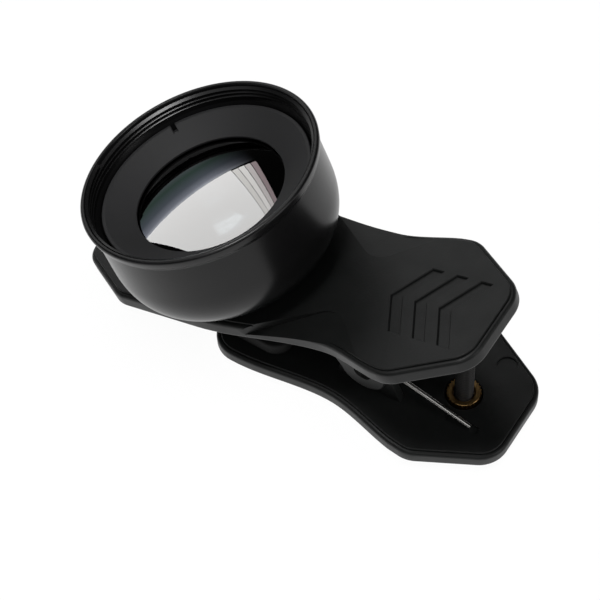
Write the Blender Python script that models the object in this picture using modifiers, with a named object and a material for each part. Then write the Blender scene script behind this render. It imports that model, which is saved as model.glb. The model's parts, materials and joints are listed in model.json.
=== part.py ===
"""Clip-on phone lens: a sprung plastic clip with a macro lens screwed into its upper jaw.

Lengths are in metres, +Z is up. The clip lies as it rests on a table, on its knob and the tip of
its upper jaw, with the handles towards +X and its lower plate level. Each half of the clip is
modelled in its own frame, whose origin is on the hinge axis, with x along the plate towards the
handle and z out of its upper face. The lens has a frame of its own on the clip's upper face, with
z along the lens axis.
"""

import math

import bmesh
import bpy
from mathutils import Matrix, Vector

MM = 0.001

# Clearances between neighbouring pieces, and the break of their turned edges
SEAT_GAP = 0.3 * MM
RUN_GAP = 0.1 * MM
SIDE_GAP = 0.2 * MM
EDGE_BREAK = 0.25 * MM

# Clip plates and their six-sided handle ends
PLATE_T = 2.9 * MM
PANEL_RISE = 0.3 * MM
PANEL_INSET = 0.65 * MM
EDGE_ROUND = 0.6 * MM
HANDLE_ROUND = 5.0 * MM

# Upper half: its jaw's end is six-sided like the handle
UPPER_FACE = 10.7 * MM
LENS_X = 25.3 * MM
UPPER_TIP = 52.9 * MM
UPPER_TIP_HALF = 7.95 * MM
UPPER_TIP_CORNER = 41.7 * MM
UPPER_TIP_ROUND = 4.0 * MM
UPPER_JAW_HALF = 13.9 * MM
UPPER_NECK_START = -25.6 * MM
UPPER_WAIST_X = -2.2 * MM
UPPER_WAIST_HALF = 11.6 * MM
UPPER_HANDLE_CORNER = 11.5 * MM
UPPER_HANDLE_HALF = 13.9 * MM
UPPER_HANDLE_END = 23.1 * MM
UPPER_HANDLE_END_HALF = 7.0 * MM

# Lower half: its jaw is shorter and square-ended
LOWER_FACE = -6.2 * MM
LOWER_TIP = 26.5 * MM
LOWER_TIP_ROUND = 4.6 * MM
LOWER_JAW_HALF = 12.7 * MM
LOWER_NECK_START = -21.5 * MM
LOWER_WAIST_X = -5.0 * MM
LOWER_WAIST_HALF = 10.85 * MM
LOWER_HANDLE_CORNER = 11.0 * MM
LOWER_HANDLE_HALF = 13.7 * MM
LOWER_HANDLE_END = 23.4 * MM
LOWER_HANDLE_END_HALF = 7.3 * MM

# Closed jaws: the angle between the plates
JAW_ANGLE = math.radians(20.4)

# Hinge ears, pin and spring
PIN_R = 1.4 * MM
EAR_T = 1.4 * MM
UPPER_EAR_Y = 8.2 * MM
UPPER_EAR_R = 3.9 * MM
LOWER_EAR_R = 3.6 * MM
EAR_FOOT = 6.0 * MM
EAR_STEPS = 12
PIN_RECESS = 0.5 * MM
COIL_R = 2.0 * MM
WIRE_R = 0.4 * MM
COIL_TURNS = 9
COIL_STEPS = 12
LEG_REACH = 17.2 * MM
LEG_SPLAY = 0.6 * MM
COIL_SIDE_GAP = 0.6 * MM
LEG_GROOVE_T = 0.35 * MM
LEG_GROOVE_BACK = 4.0 * MM
LEG_GROOVE_AHEAD = 1.4 * MM

# Side scallops of the neck's raised panel
SCALLOP_X = -2.4 * MM
SCALLOP_INNER = 4.9 * MM
SCALLOP_JAW_X = -18.4 * MM
SCALLOP_HANDLE_X = 8.4 * MM
SCALLOP_ROUND = 4.0 * MM
SCALLOP_FALL = math.radians(4.5)

# Grip chevrons in the thumb pad
CHEVRONS = 3
CHEVRON_X = 4.2 * MM
CHEVRON_PITCH = 4.4 * MM
CHEVRON_W = 2.1 * MM
CHEVRON_SWEEP = 3.6 * MM
CHEVRON_HALF = 6.4 * MM
CHEVRON_DEPTH = 0.4 * MM

# Clamp screw with its insert and knob
SCREW_X = 13.3 * MM
SCREW_R = 1.5 * MM
SCREW_POINT = 0.4 * MM
SCREW_FOOT = 0.4 * MM
SCREW_TIP = 12.3 * MM
INSERT_WALL = 1.3 * MM
INSERT_R = SCREW_R + INSERT_WALL
INSERT_PROUD = 0.5 * MM
INSERT_CHAMFER = 0.45 * MM
KNOB_R = 5.5 * MM
KNOB_THINNEST = 1.0 * MM
KNOB_EDGE = 0.3 * MM
KNOB_FLUTES = 14
KNOB_FLUTE_R = 0.9 * MM
KNOB_FLUTE_OUT = 0.4 * MM
KNOB_STEPS = 56

# Moulding mark beside the insert
MARK_X = 16.6 * MM
MARK_Y = 7.7 * MM
MARK_R = 1.65 * MM
MARK_DEPTH = 0.3 * MM

# Pads
UPPER_PAD_WIDTH = 3.4 * MM
UPPER_PAD_T = 1.5 * MM
UPPER_PAD_GAP = 0.5 * MM
UPPER_PAD_EDGE = 0.3 * MM
LOWER_PAD_L = 12.0 * MM
LOWER_PAD_HALF = 9.9 * MM
LOWER_PAD_ROUND = 3.0 * MM
LOWER_PAD_EDGE = 0.4 * MM
PAD_INSET = 0.8 * MM

# Threaded neck that screws into the clip, and the cell above it
NECK_R = 8.5 * MM
CELL_WALL = 0.9 * MM
CELL_FLOOR = 1.2 * MM
CELL_STEP = 2.6 * MM
CELL_SHOULDER = 1.9 * MM
CELL_WAIST = 1.6 * MM
CELL_RIB = 0.6 * MM
NECK_CHAMFER = 0.3 * MM
RETAINER_H = 1.0 * MM
RETAINER_WALL = 0.9 * MM
RETAINER_RECESS = 0.1 * MM

# Glass
FRONT_GLASS_R = 12.5 * MM
FRONT_GLASS_EDGE = 3.0 * MM
FRONT_DOME = 1.3 * MM
FRONT_BACK_DOME = 2.0 * MM
MIDDLE_GLASS_STEP = 1.2 * MM
MIDDLE_GLASS_R = FRONT_GLASS_R - MIDDLE_GLASS_STEP
MIDDLE_GLASS_EDGE = 2.6 * MM
MIDDLE_DOME = 1.2 * MM
LENS_AIR = 0.2 * MM
SPACER_WALL = 1.0 * MM
REAR_GLASS_STEP = 1.5 * MM
REAR_GLASS_R = NECK_R - REAR_GLASS_STEP
REAR_GLASS_EDGE = 2.4 * MM
REAR_DOME = 0.6 * MM
GLASS_LEDGE = 1.1 * MM

# Lens barrel and its rim
RIM_R = 19.5 * MM
RIM_ROUND = 0.45 * MM
RIM_H = 1.4 * MM
RIM_TAPER = 0.3 * MM
RIM_CHAMFER = 0.8 * MM
RIM_LIP = 0.8 * MM
BARREL_R = RIM_R - RIM_LIP
BARREL_WALL = 1.3 * MM
BOWL_H = 9.7 * MM
BOWL_FOOT = 2.1 * MM
FOOT_R = NECK_R + BOWL_FOOT
BOWL_POWER = 0.86
THREAD_STEP = 0.4 * MM
THREAD_R = BARREL_R - THREAD_STEP
THREAD_DEPTH = 3.3 * MM
THREAD_RUNOUT = 0.3 * MM

# Front baffle
BAFFLE_H = 2.5 * MM
BAFFLE_RISE = 0.2 * MM
BAFFLE_LEDGE = 0.1 * MM
BAFFLE_OUTER = BARREL_R - BARREL_WALL - SEAT_GAP
BAFFLE_LIP_R = BAFFLE_OUTER - BAFFLE_LEDGE
BAFFLE_LIP_W = 0.35 * MM
BAFFLE_OVERLAP = 0.35 * MM
BAFFLE_INNER_R = FRONT_GLASS_R - BAFFLE_OVERLAP
BAFFLE_EDGE = 0.3 * MM
NOTCH_W = 0.7 * MM
NOTCH_L = 1.45 * MM
NOTCH_DEPTH = 1.4 * MM
NOTCH_ANGLE = math.radians(146.0)

# Heights of the lens's stack above the clip's upper face, from the neck up to the rim
NECK_LOW = -PLATE_T
REAR_TOP = NECK_LOW + RETAINER_H + 2.0 * SEAT_GAP + REAR_GLASS_EDGE
MIDDLE_SEAT = CELL_FLOOR + CELL_STEP
MIDDLE_TOP = MIDDLE_SEAT + SEAT_GAP + MIDDLE_GLASS_EDGE
FRONT_TOP = MIDDLE_TOP + MIDDLE_DOME + LENS_AIR + FRONT_BACK_DOME + FRONT_GLASS_EDGE
FRONT_SEAT = FRONT_TOP - FRONT_GLASS_EDGE - SEAT_GAP
BAFFLE_TOP = FRONT_TOP + SEAT_GAP + BAFFLE_H
THREAD_FLOOR = BAFFLE_TOP - BAFFLE_RISE
RIM_TOP = THREAD_FLOOR + THREAD_DEPTH

ROUND_STEPS = 60
INNER_STEPS = 44
SMALL_STEPS = 28
FLUTE_STEPS = 10
ARC_STEPS = 5
WAIST_STEPS = 7
BOWL_STEPS = 8
DOME_STEPS = 4

# Shading and welding
SHARP_ANGLE = math.radians(32.0)
FLAT_ANGLE = 0.002
WELD = 0.000001

PARTS = "clip_on_phone_lens"
CUTTERS = "cutters"


def clear_scene():
    for obj in list(bpy.data.objects):
        bpy.data.objects.remove(obj, do_unlink=True)


def make_collection(name):
    collection = bpy.data.collections.new(name)
    bpy.context.scene.collection.children.link(collection)
    return collection


def material(name, colour, roughness, metallic):
    mat = bpy.data.materials.new(name)
    mat.use_nodes = True
    shader = mat.node_tree.nodes["Principled BSDF"]
    shader.inputs["Base Color"].default_value = (*colour, 1.0)
    shader.inputs["Roughness"].default_value = roughness
    shader.inputs["Metallic"].default_value = metallic
    return mat


def add_empty(name, parent, location, pitch):
    """A frame: pitch raises its +X end by turning it about Y."""
    empty = bpy.data.objects.new(name, None)
    bpy.data.collections[PARTS].objects.link(empty)
    empty.parent = parent
    empty.location = location
    empty.rotation_euler = (0.0, -pitch, 0.0)
    return empty


def add_part(name, mesh, mat, parent):
    obj = bpy.data.objects.new(name, mesh)
    bpy.data.collections[PARTS].objects.link(obj)
    obj.data.materials.append(mat)
    obj.parent = parent
    return obj


def add_cutter(name, mesh, parent):
    obj = bpy.data.objects.new(name, mesh)
    bpy.data.collections[CUTTERS].objects.link(obj)
    obj.hide_render = True
    obj.display_type = "WIRE"
    obj.parent = parent
    return obj


def boolean(obj, tool, operation):
    mod = obj.modifiers.new(tool.name, "BOOLEAN")
    mod.operation = operation
    mod.solver = "EXACT"
    mod.object = tool


def bevel(obj, width, segments):
    """Rounds the rim edges of a plate: only edges near a right angle."""
    mod = obj.modifiers.new("edge_round", "BEVEL")
    mod.width = width
    mod.segments = segments
    mod.limit_method = "ANGLE"
    mod.angle_limit = math.radians(50.0)


def profile_mesh(name, profile, closed):
    mesh = bpy.data.meshes.new(name)
    edges = [(i, i + 1) for i in range(len(profile) - 1)]
    if closed:
        edges.append((len(profile) - 1, 0))
    mesh.from_pydata([(x, 0.0, z) for x, z in profile], edges, [])
    return mesh


def smooth(mesh):
    """Smooth shading with its real edges kept sharp."""
    mesh.shade_smooth()
    mesh.set_sharp_from_angle(angle=SHARP_ANGLE)
    return mesh


def turned_mesh(name, profile, closed, steps):
    """Spins a profile round the z axis and keeps the result as a smooth mesh."""
    holder = bpy.data.objects.new(name, profile_mesh(name, profile, closed))
    bpy.context.scene.collection.objects.link(holder)
    mod = holder.modifiers.new("turn", "SCREW")
    mod.axis = "Z"
    mod.angle = math.tau
    mod.steps = steps
    mod.render_steps = steps
    mod.use_merge_vertices = True
    mod.merge_threshold = 0.00001
    return smooth(evaluated_mesh(holder, False))


def turned_ring(name, profile, mat, parent, steps=ROUND_STEPS):
    """A ring: its closed profile runs down the outside and up the inside."""
    return add_part(name, turned_mesh(name, profile, True, steps), mat, parent)


def turned_solid(name, profile, mat, parent, steps=ROUND_STEPS):
    """A solid of revolution: its profile runs from the axis at the top to the axis at the bottom."""
    return add_part(name, turned_mesh(name, profile, False, steps), mat, parent)


def rounded(corners, steps=ARC_STEPS):
    """Outline points of a polygon whose corners (x, y, radius) are rounded by arcs."""
    points = []
    count = len(corners)
    for i, (x, y, radius) in enumerate(corners):
        here = Vector((x, y))
        if radius == 0.0:
            points.append(here)
            continue
        back = (Vector(corners[i - 1][:2]) - here).normalized()
        ahead = (Vector(corners[(i + 1) % count][:2]) - here).normalized()
        half = back.angle(ahead) / 2.0
        centre = here + (back + ahead).normalized() * (radius / math.sin(half))
        start = here + back * (radius / math.tan(half)) - centre
        sweep = start.angle_signed(here + ahead * (radius / math.tan(half)) - centre)
        for k in range(steps + 1):
            turned = start.copy()
            turned.rotate(Matrix.Rotation(-sweep * k / steps, 2))
            points.append(centre + turned)
    return points


def inset(points, distance):
    """The same outline moved inwards (anticlockwise points)."""
    moved = []
    count = len(points)
    for i, here in enumerate(points):
        back = (here - points[i - 1]).normalized()
        ahead = (points[(i + 1) % count] - here).normalized()
        normal_back = Vector((-back.y, back.x))
        normal_ahead = Vector((-ahead.y, ahead.x))
        normal = (normal_back + normal_ahead).normalized()
        moved.append(here + normal * (distance / normal.dot(normal_ahead)))
    return moved


def flat_mesh(name, points, low, high):
    """A plate between two heights, from a filled 2D curve."""
    curve = bpy.data.curves.new(name, "CURVE")
    curve.dimensions = "2D"
    curve.fill_mode = "BOTH"
    curve.extrude = (high - low) / 2.0
    spline = curve.splines.new("POLY")
    spline.points.add(len(points) - 1)
    for target, point in zip(spline.points, points):
        target.co = (point[0], point[1], 0.0, 1.0)
    spline.use_cyclic_u = True
    holder = bpy.data.objects.new(name, curve)
    bpy.context.scene.collection.objects.link(holder)
    mesh = evaluated_mesh(holder, True)
    mesh.transform(Matrix.Translation((0.0, 0.0, (high + low) / 2.0)))
    return mesh


def evaluated_mesh(holder, whole_caps):
    """The finished mesh of a curve or turned object, welded, and with each flat cap as one face if asked.

    The object itself is removed.
    """
    bpy.context.view_layer.update()
    graph = bpy.context.evaluated_depsgraph_get()
    mesh = bpy.data.meshes.new_from_object(holder.evaluated_get(graph))
    bpy.data.objects.remove(holder, do_unlink=True)
    work = bmesh.new()
    work.from_mesh(mesh)
    bmesh.ops.remove_doubles(work, verts=work.verts, dist=WELD)
    if whole_caps:
        bmesh.ops.dissolve_limit(work, angle_limit=FLAT_ANGLE, verts=work.verts, edges=work.edges)
    bmesh.ops.recalc_face_normals(work, faces=work.faces)
    work.to_mesh(mesh)
    work.free()
    return mesh


def cylinder_mesh(name, radius, low, high, steps):
    mesh = bpy.data.meshes.new(name)
    work = bmesh.new()
    bmesh.ops.create_cone(
        work, cap_ends=True, segments=steps, radius1=radius, radius2=radius, depth=high - low
    )
    bmesh.ops.translate(work, verts=work.verts, vec=(0.0, 0.0, (high + low) / 2.0))
    work.to_mesh(mesh)
    work.free()
    return smooth(mesh)


def sideways(mesh, y=0.0):
    """Stands a flat mesh up, so its outline lies in x and z and its thickness along y."""
    mesh.transform(Matrix.Translation((0.0, y, 0.0)) @ Matrix.Rotation(math.radians(90.0), 4, "X"))
    return mesh


def ease(t):
    return t * t * (3.0 - 2.0 * t)


def waist_points(start, waist, end):
    """Side of a plate from the jaw through the waist to the handle, each given as (x, half width)."""
    side = []
    for (x_a, half_a), (x_b, half_b) in ((start, waist), (waist, end)):
        for k in range(WAIST_STEPS):
            t = k / WAIST_STEPS
            side.append((x_a + (x_b - x_a) * t, half_a + (half_b - half_a) * ease(t), 0.0))
    return side[:-1]


def plate_outline(jaw_corners, side, handle_corners):
    """Anticlockwise outline of a clip plate: near side to +X, round the handle, back on the far side."""
    half = jaw_corners + side + handle_corners
    near = [(x, -y, r) for x, y, r in half]
    return rounded(near + half[::-1])


def upper_outline():
    tip = [
        (-UPPER_TIP, UPPER_TIP_HALF, UPPER_TIP_ROUND),
        (-UPPER_TIP_CORNER, UPPER_JAW_HALF, HANDLE_ROUND),
    ]
    corner = (UPPER_HANDLE_CORNER, UPPER_HANDLE_HALF)
    waist = (UPPER_WAIST_X, UPPER_WAIST_HALF)
    side = waist_points((UPPER_NECK_START, UPPER_JAW_HALF), waist, corner)
    handle = [(*corner, HANDLE_ROUND), (UPPER_HANDLE_END, UPPER_HANDLE_END_HALF, HANDLE_ROUND)]
    return plate_outline(tip, side, handle)


def lower_outline():
    tip = [(-LOWER_TIP, LOWER_JAW_HALF, LOWER_TIP_ROUND)]
    corner = (LOWER_HANDLE_CORNER, LOWER_HANDLE_HALF)
    waist = (LOWER_WAIST_X, LOWER_WAIST_HALF)
    side = waist_points((LOWER_NECK_START, LOWER_JAW_HALF), waist, corner)
    handle = [(*corner, HANDLE_ROUND), (LOWER_HANDLE_END, LOWER_HANDLE_END_HALF, HANDLE_ROUND)]
    return plate_outline(tip, side, handle)


def scallop_mesh(name, side):
    """The hollow beside the neck: its floor starts at the face at its inner corner and falls outwards."""
    outer = UPPER_HANDLE_HALF + PANEL_INSET
    corners = [
        (SCALLOP_JAW_X, side * outer, 0.0),
        (SCALLOP_X, side * SCALLOP_INNER, SCALLOP_ROUND),
        (SCALLOP_HANDLE_X, side * outer, 0.0),
    ]
    mesh = flat_mesh(name, rounded(corners if side < 0 else corners[::-1]), 0.0, PLATE_T)
    hinge_line = Matrix.Translation((0.0, side * SCALLOP_INNER, UPPER_FACE))
    mesh.transform(hinge_line @ Matrix.Rotation(-side * SCALLOP_FALL, 4, "X") @ hinge_line.inverted()
                   @ Matrix.Translation((0.0, 0.0, UPPER_FACE)))
    return mesh


def chevron_outline(x):
    far = x + CHEVRON_SWEEP
    return [
        Vector((x, 0.0)),
        Vector((far, -CHEVRON_HALF)),
        Vector((far + CHEVRON_W, -CHEVRON_HALF)),
        Vector((x + CHEVRON_W, 0.0)),
        Vector((far + CHEVRON_W, CHEVRON_HALF)),
        Vector((far, CHEVRON_HALF)),
    ]


def plate(name, outline, low, mat, parent):
    """A clip plate: a base with rounded edges and a raised panel a little inside them."""
    base_top = low + PLATE_T - PANEL_RISE
    body = add_part(name, flat_mesh(name, outline, low, base_top), mat, parent)
    bevel(body, EDGE_ROUND, 2)
    panel_name = name + "_panel"
    panel_outline = inset(outline, PANEL_INSET)
    panel_mesh = flat_mesh(panel_name, panel_outline, low + PLATE_T / 2.0, low + PLATE_T)
    panel = add_cutter(panel_name, panel_mesh, parent)
    return body, panel


def ear_mesh(name, radius, foot_z, foot_near, foot_far, y):
    """A hinge ear: a round lobe on the axis that widens into the plate at foot_z."""
    up = 1.0 if foot_z > 0 else -1.0
    lobe = []
    for k in range(EAR_STEPS + 1):
        angle = math.pi * k / EAR_STEPS
        lobe.append(Vector((radius * math.cos(angle), -up * radius * math.sin(angle))))
    outline = [Vector((foot_near, foot_z))] + lobe + [Vector((-foot_far, foot_z))]
    mesh = flat_mesh(name, outline, -EAR_T / 2.0, EAR_T / 2.0)
    return sideways(mesh, y)


def join_ears(body, radius, foot_z, foot_near, foot_far, ear_y, parent):
    for side, word in ((-1.0, "near"), (1.0, "far")):
        name = body.name + "_ear_" + word
        ear = add_cutter(name, ear_mesh(name, radius, foot_z, foot_near, foot_far, side * ear_y), parent)
        boolean(body, ear, "UNION")


def cut_pin_hole(body, half_width, parent):
    name = body.name + "_pin_hole"
    mesh = sideways(cylinder_mesh(name, PIN_R + RUN_GAP, -half_width, half_width, SMALL_STEPS))
    boolean(body, add_cutter(name, mesh, parent), "DIFFERENCE")


def make_clip_upper(parent, mat):
    """Upper jaw, neck and thumb pad, with the lens hole and two outer hinge ears."""
    low = UPPER_FACE - PLATE_T
    body, panel = plate("clip_upper", upper_outline(), low, mat, parent)
    boolean(body, panel, "UNION")
    for side, word in ((-1.0, "near"), (1.0, "far")):
        name = "scallop_" + word
        boolean(body, add_cutter(name, scallop_mesh(name, side), parent), "DIFFERENCE")
    join_ears(body, UPPER_EAR_R, low + EDGE_ROUND, EAR_FOOT, EAR_FOOT, UPPER_EAR_Y - EAR_T / 2.0, parent)
    cut_pin_hole(body, UPPER_EAR_Y + EAR_T, parent)
    hole = cylinder_mesh("lens_hole", NECK_R + SEAT_GAP, low - PLATE_T, UPPER_FACE + PLATE_T, ROUND_STEPS)
    hole.transform(Matrix.Translation((-LENS_X, 0.0, 0.0)))
    boolean(body, add_cutter("lens_hole", hole, parent), "DIFFERENCE")
    for k in range(CHEVRONS):
        name = f"chevron_{k + 1}"
        outline = chevron_outline(CHEVRON_X + CHEVRON_PITCH * k)
        mesh = flat_mesh(name, outline, UPPER_FACE - CHEVRON_DEPTH, UPPER_FACE + PLATE_T)
        boolean(body, add_cutter(name, mesh, parent), "DIFFERENCE")
    return body


def make_clip_lower(parent, mat):
    """Lower jaw and handle, with two inner hinge ears, the insert's hole and the spring's groove."""
    low = LOWER_FACE - PLATE_T
    body, panel = plate("clip_lower", lower_outline(), low, mat, parent)
    boolean(body, panel, "UNION")
    ear_y = UPPER_EAR_Y - EAR_T - SIDE_GAP - EAR_T / 2.0
    join_ears(body, LOWER_EAR_R, LOWER_FACE - EDGE_ROUND, EAR_FOOT, EAR_FOOT, ear_y, parent)
    cut_pin_hole(body, UPPER_EAR_Y, parent)
    over = LOWER_FACE + PLATE_T
    hole = cylinder_mesh("insert_hole", INSERT_R + SEAT_GAP, low - PLATE_T, over, SMALL_STEPS)
    hole.transform(Matrix.Translation((SCREW_X, 0.0, 0.0)))
    boolean(body, add_cutter("insert_hole", hole, parent), "DIFFERENCE")
    mark = cylinder_mesh("mould_mark", MARK_R, LOWER_FACE - MARK_DEPTH, over, SMALL_STEPS)
    mark.transform(Matrix.Translation((MARK_X, MARK_Y, 0.0)))
    boolean(body, add_cutter("mould_mark", mark, parent), "DIFFERENCE")
    groove_half = WIRE_R + SEAT_GAP
    x_low = LEG_REACH - LEG_GROOVE_BACK
    x_high = LEG_REACH + LEG_GROOVE_AHEAD
    y = -leg_y() - LEG_SPLAY
    corners = [
        (x_low, y - groove_half, 0.0),
        (x_high, y - groove_half, WIRE_R),
        (x_high, y + groove_half, WIRE_R),
        (x_low, y + groove_half, 0.0),
    ]
    groove = flat_mesh("leg_groove", rounded(corners), LOWER_FACE - LEG_GROOVE_T, over)
    boolean(body, add_cutter("leg_groove", groove, parent), "DIFFERENCE")
    return body


def leg_y():
    """How far the spring's legs lie from the middle: just inside the lower ears."""
    inner_face = UPPER_EAR_Y - 2.0 * EAR_T - SIDE_GAP
    return inner_face - COIL_SIDE_GAP - WIRE_R


def tangent_angle(x, z, way):
    """Angle on the coil at which a leg to (x, z) leaves it: way is 1 for the top, -1 for below."""
    return math.atan2(z, x) + way * math.acos(COIL_R / math.hypot(x, z))


def make_spring(parent, mat):
    """Torsion spring: its near leg lies on the lower handle, its far leg bears on the upper one."""
    leg_rest = SEAT_GAP + WIRE_R
    low_tip = Vector((LEG_REACH, LOWER_FACE - LEG_GROOVE_T + leg_rest))
    high_tip = Matrix.Rotation(JAW_ANGLE, 2) @ Vector((LEG_REACH, UPPER_FACE - PLATE_T - leg_rest))
    start = tangent_angle(low_tip.x, low_tip.y, -1.0)
    sweep = tangent_angle(high_tip.x, high_tip.y, 1.0) - start - math.tau * (COIL_TURNS + 1)
    count = COIL_STEPS * COIL_TURNS
    tip_y = leg_y() + LEG_SPLAY
    points = [(low_tip.x, -tip_y, low_tip.y)]
    for k in range(count + 1):
        t = k / count
        angle = start + sweep * t
        points.append((COIL_R * math.cos(angle), leg_y() * (2.0 * t - 1.0), COIL_R * math.sin(angle)))
    points.append((high_tip.x, tip_y, high_tip.y))
    curve = bpy.data.curves.new("torsion_spring", "CURVE")
    curve.dimensions = "3D"
    curve.bevel_depth = WIRE_R
    curve.bevel_resolution = 2
    curve.use_fill_caps = True
    spline = curve.splines.new("POLY")
    spline.points.add(len(points) - 1)
    for target, point in zip(spline.points, points):
        target.co = (*point, 1.0)
    holder = bpy.data.objects.new("torsion_spring", curve)
    bpy.context.scene.collection.objects.link(holder)
    return add_part("torsion_spring", smooth(evaluated_mesh(holder, False)), mat, parent)


def make_pin(parent, mat):
    """Hinge pin through all four ears, a little short of their outer faces."""
    half = UPPER_EAR_Y - PIN_RECESS
    mesh = sideways(cylinder_mesh("pivot_pin", PIN_R, -half, half, SMALL_STEPS))
    pin = add_part("pivot_pin", mesh, mat, parent)
    bevel(pin, EDGE_BREAK, 1)
    return pin


def lower_pad_top():
    """Height in the lower frame at which the pad's tip just meets the upper pad."""
    upper_pad_low = UPPER_FACE - PLATE_T - SEAT_GAP - UPPER_PAD_T
    tip = -LOWER_TIP + PAD_INSET
    return (upper_pad_low - SEAT_GAP + tip * math.sin(JAW_ANGLE)) / math.cos(JAW_ANGLE)


def make_pads(upper, lower, mat):
    low = UPPER_FACE - PLATE_T - SEAT_GAP - UPPER_PAD_T
    high = low + UPPER_PAD_T
    inner = NECK_R + UPPER_PAD_GAP
    outer = inner + UPPER_PAD_WIDTH
    profile = [
        (inner, high),
        (outer, high),
        (outer, low + UPPER_PAD_EDGE),
        (outer - UPPER_PAD_EDGE, low),
        (inner + UPPER_PAD_EDGE, low),
        (inner, low + UPPER_PAD_EDGE),
    ]
    ring = turned_ring("upper_pad", profile, mat, upper, INNER_STEPS)
    ring.location = (-LENS_X, 0.0, 0.0)
    tip = -LOWER_TIP + PAD_INSET
    corners = [
        (tip, -LOWER_PAD_HALF, LOWER_PAD_ROUND),
        (tip + LOWER_PAD_L, -LOWER_PAD_HALF, LOWER_PAD_ROUND),
        (tip + LOWER_PAD_L, LOWER_PAD_HALF, LOWER_PAD_ROUND),
        (tip, LOWER_PAD_HALF, LOWER_PAD_ROUND),
    ]
    mesh = flat_mesh("lower_pad", rounded(corners), LOWER_FACE + SEAT_GAP, lower_pad_top())
    pad = add_part("lower_pad", mesh, mat, lower)
    bevel(pad, LOWER_PAD_EDGE, 2)


def make_insert(parent, mat):
    """Knurled brass insert: flush with the underside, a little proud inside."""
    high = LOWER_FACE + INSERT_PROUD
    low = LOWER_FACE - PLATE_T + SEAT_GAP
    bore = SCREW_R + RUN_GAP
    profile = [
        (bore + INSERT_CHAMFER, high),
        (INSERT_R - EDGE_BREAK, high),
        (INSERT_R, high - EDGE_BREAK),
        (INSERT_R, low + EDGE_BREAK),
        (INSERT_R - EDGE_BREAK, low),
        (bore, low),
        (bore, high - INSERT_CHAMFER),
    ]
    turned_ring("thread_insert", profile, mat, parent, SMALL_STEPS).location = (SCREW_X, 0.0, 0.0)


def table_level():
    """Height in the lower frame of the lowest point of the upper jaw's tip, on which the clip rests."""
    round_x = EDGE_ROUND - UPPER_TIP
    round_z = UPPER_FACE - PLATE_T + EDGE_ROUND
    return round_x * math.sin(JAW_ANGLE) + round_z * math.cos(JAW_ANGLE) - EDGE_ROUND


def make_screw(parent, screw_mat, knob_mat):
    """Clamp screw with a fluted knob below, just thick enough to hold the lower plate level."""
    tip = LOWER_FACE + SCREW_TIP
    knob_high = LOWER_FACE - PLATE_T - SEAT_GAP
    knob_low = min(table_level(), knob_high - KNOB_THINNEST)
    foot = knob_low + SCREW_FOOT
    profile = [
        (0.0, tip),
        (SCREW_R - SCREW_POINT, tip),
        (SCREW_R, tip - SCREW_POINT),
        (SCREW_R, foot),
        (0.0, foot),
    ]
    screw = turned_solid("clamp_screw", profile, screw_mat, parent, SMALL_STEPS)
    screw.location = (SCREW_X, 0.0, 0.0)
    rim = [
        (SCREW_R + RUN_GAP, knob_high),
        (KNOB_R - KNOB_EDGE, knob_high),
        (KNOB_R, knob_high - KNOB_EDGE),
        (KNOB_R, knob_low + KNOB_EDGE),
        (KNOB_R - KNOB_EDGE, knob_low),
        (SCREW_R + RUN_GAP, knob_low),
    ]
    knob = turned_ring("screw_knob", rim, knob_mat, parent, KNOB_STEPS)
    knob.location = (SCREW_X, 0.0, 0.0)
    cutter = add_cutter("knob_flutes", flutes_mesh(knob_low - KNOB_EDGE, knob_high + KNOB_EDGE), parent)
    cutter.location = (SCREW_X, 0.0, 0.0)
    boolean(knob, cutter, "DIFFERENCE")


def flutes_mesh(low, high):
    """Upright rods round the knob that cut its finger flutes."""
    mesh = bpy.data.meshes.new("knob_flutes")
    work = bmesh.new()
    reach = KNOB_R + KNOB_FLUTE_OUT
    for k in range(KNOB_FLUTES):
        angle = math.tau * (k + 0.5) / KNOB_FLUTES
        place = Vector((reach * math.cos(angle), reach * math.sin(angle), (low + high) / 2.0))
        bmesh.ops.create_cone(
            work,
            cap_ends=True,
            segments=FLUTE_STEPS,
            radius1=KNOB_FLUTE_R,
            radius2=KNOB_FLUTE_R,
            depth=high - low,
            matrix=Matrix.Translation(place),
        )
    work.to_mesh(mesh)
    work.free()
    return mesh


def bowl_arc(shrink):
    """Full-bodied quarter ellipse of the bowl, from its side down to its foot, moved inwards by shrink."""
    wide = BARREL_R - FOOT_R - shrink
    deep = BOWL_H - SEAT_GAP - shrink
    arc = []
    for k in range(BOWL_STEPS + 1):
        angle = math.pi / 2.0 * k / BOWL_STEPS
        across = wide * math.cos(angle) ** BOWL_POWER
        down = deep * math.sin(angle) ** BOWL_POWER
        arc.append((FOOT_R + across, BOWL_H - down))
    return arc


def make_barrel(parent, mat):
    """Turned bowl: a flanged rim, the filter thread's bore, and a floor with a hole for the neck."""
    rim_low = RIM_TOP - RIM_H
    hole = NECK_R + SEAT_GAP
    inner_side = BARREL_R - BARREL_WALL
    outside = [
        (THREAD_R, RIM_TOP - EDGE_BREAK),
        (THREAD_R + EDGE_BREAK, RIM_TOP),
        (RIM_R - RIM_ROUND, RIM_TOP),
        (RIM_R - RIM_ROUND * 0.3, RIM_TOP - RIM_ROUND * 0.3),
        (RIM_R, RIM_TOP - RIM_ROUND),
        (RIM_R - RIM_TAPER, rim_low),
        (BARREL_R, rim_low - RIM_CHAMFER),
    ]
    inside = bowl_arc(BARREL_WALL)[::-1]
    profile = outside + bowl_arc(0.0) + [(hole, SEAT_GAP), (hole, SEAT_GAP + BARREL_WALL)] + inside
    profile += [(inner_side, THREAD_FLOOR), (THREAD_R, THREAD_FLOOR + THREAD_RUNOUT)]
    turned_ring("lens_barrel", profile, mat, parent)


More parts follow.
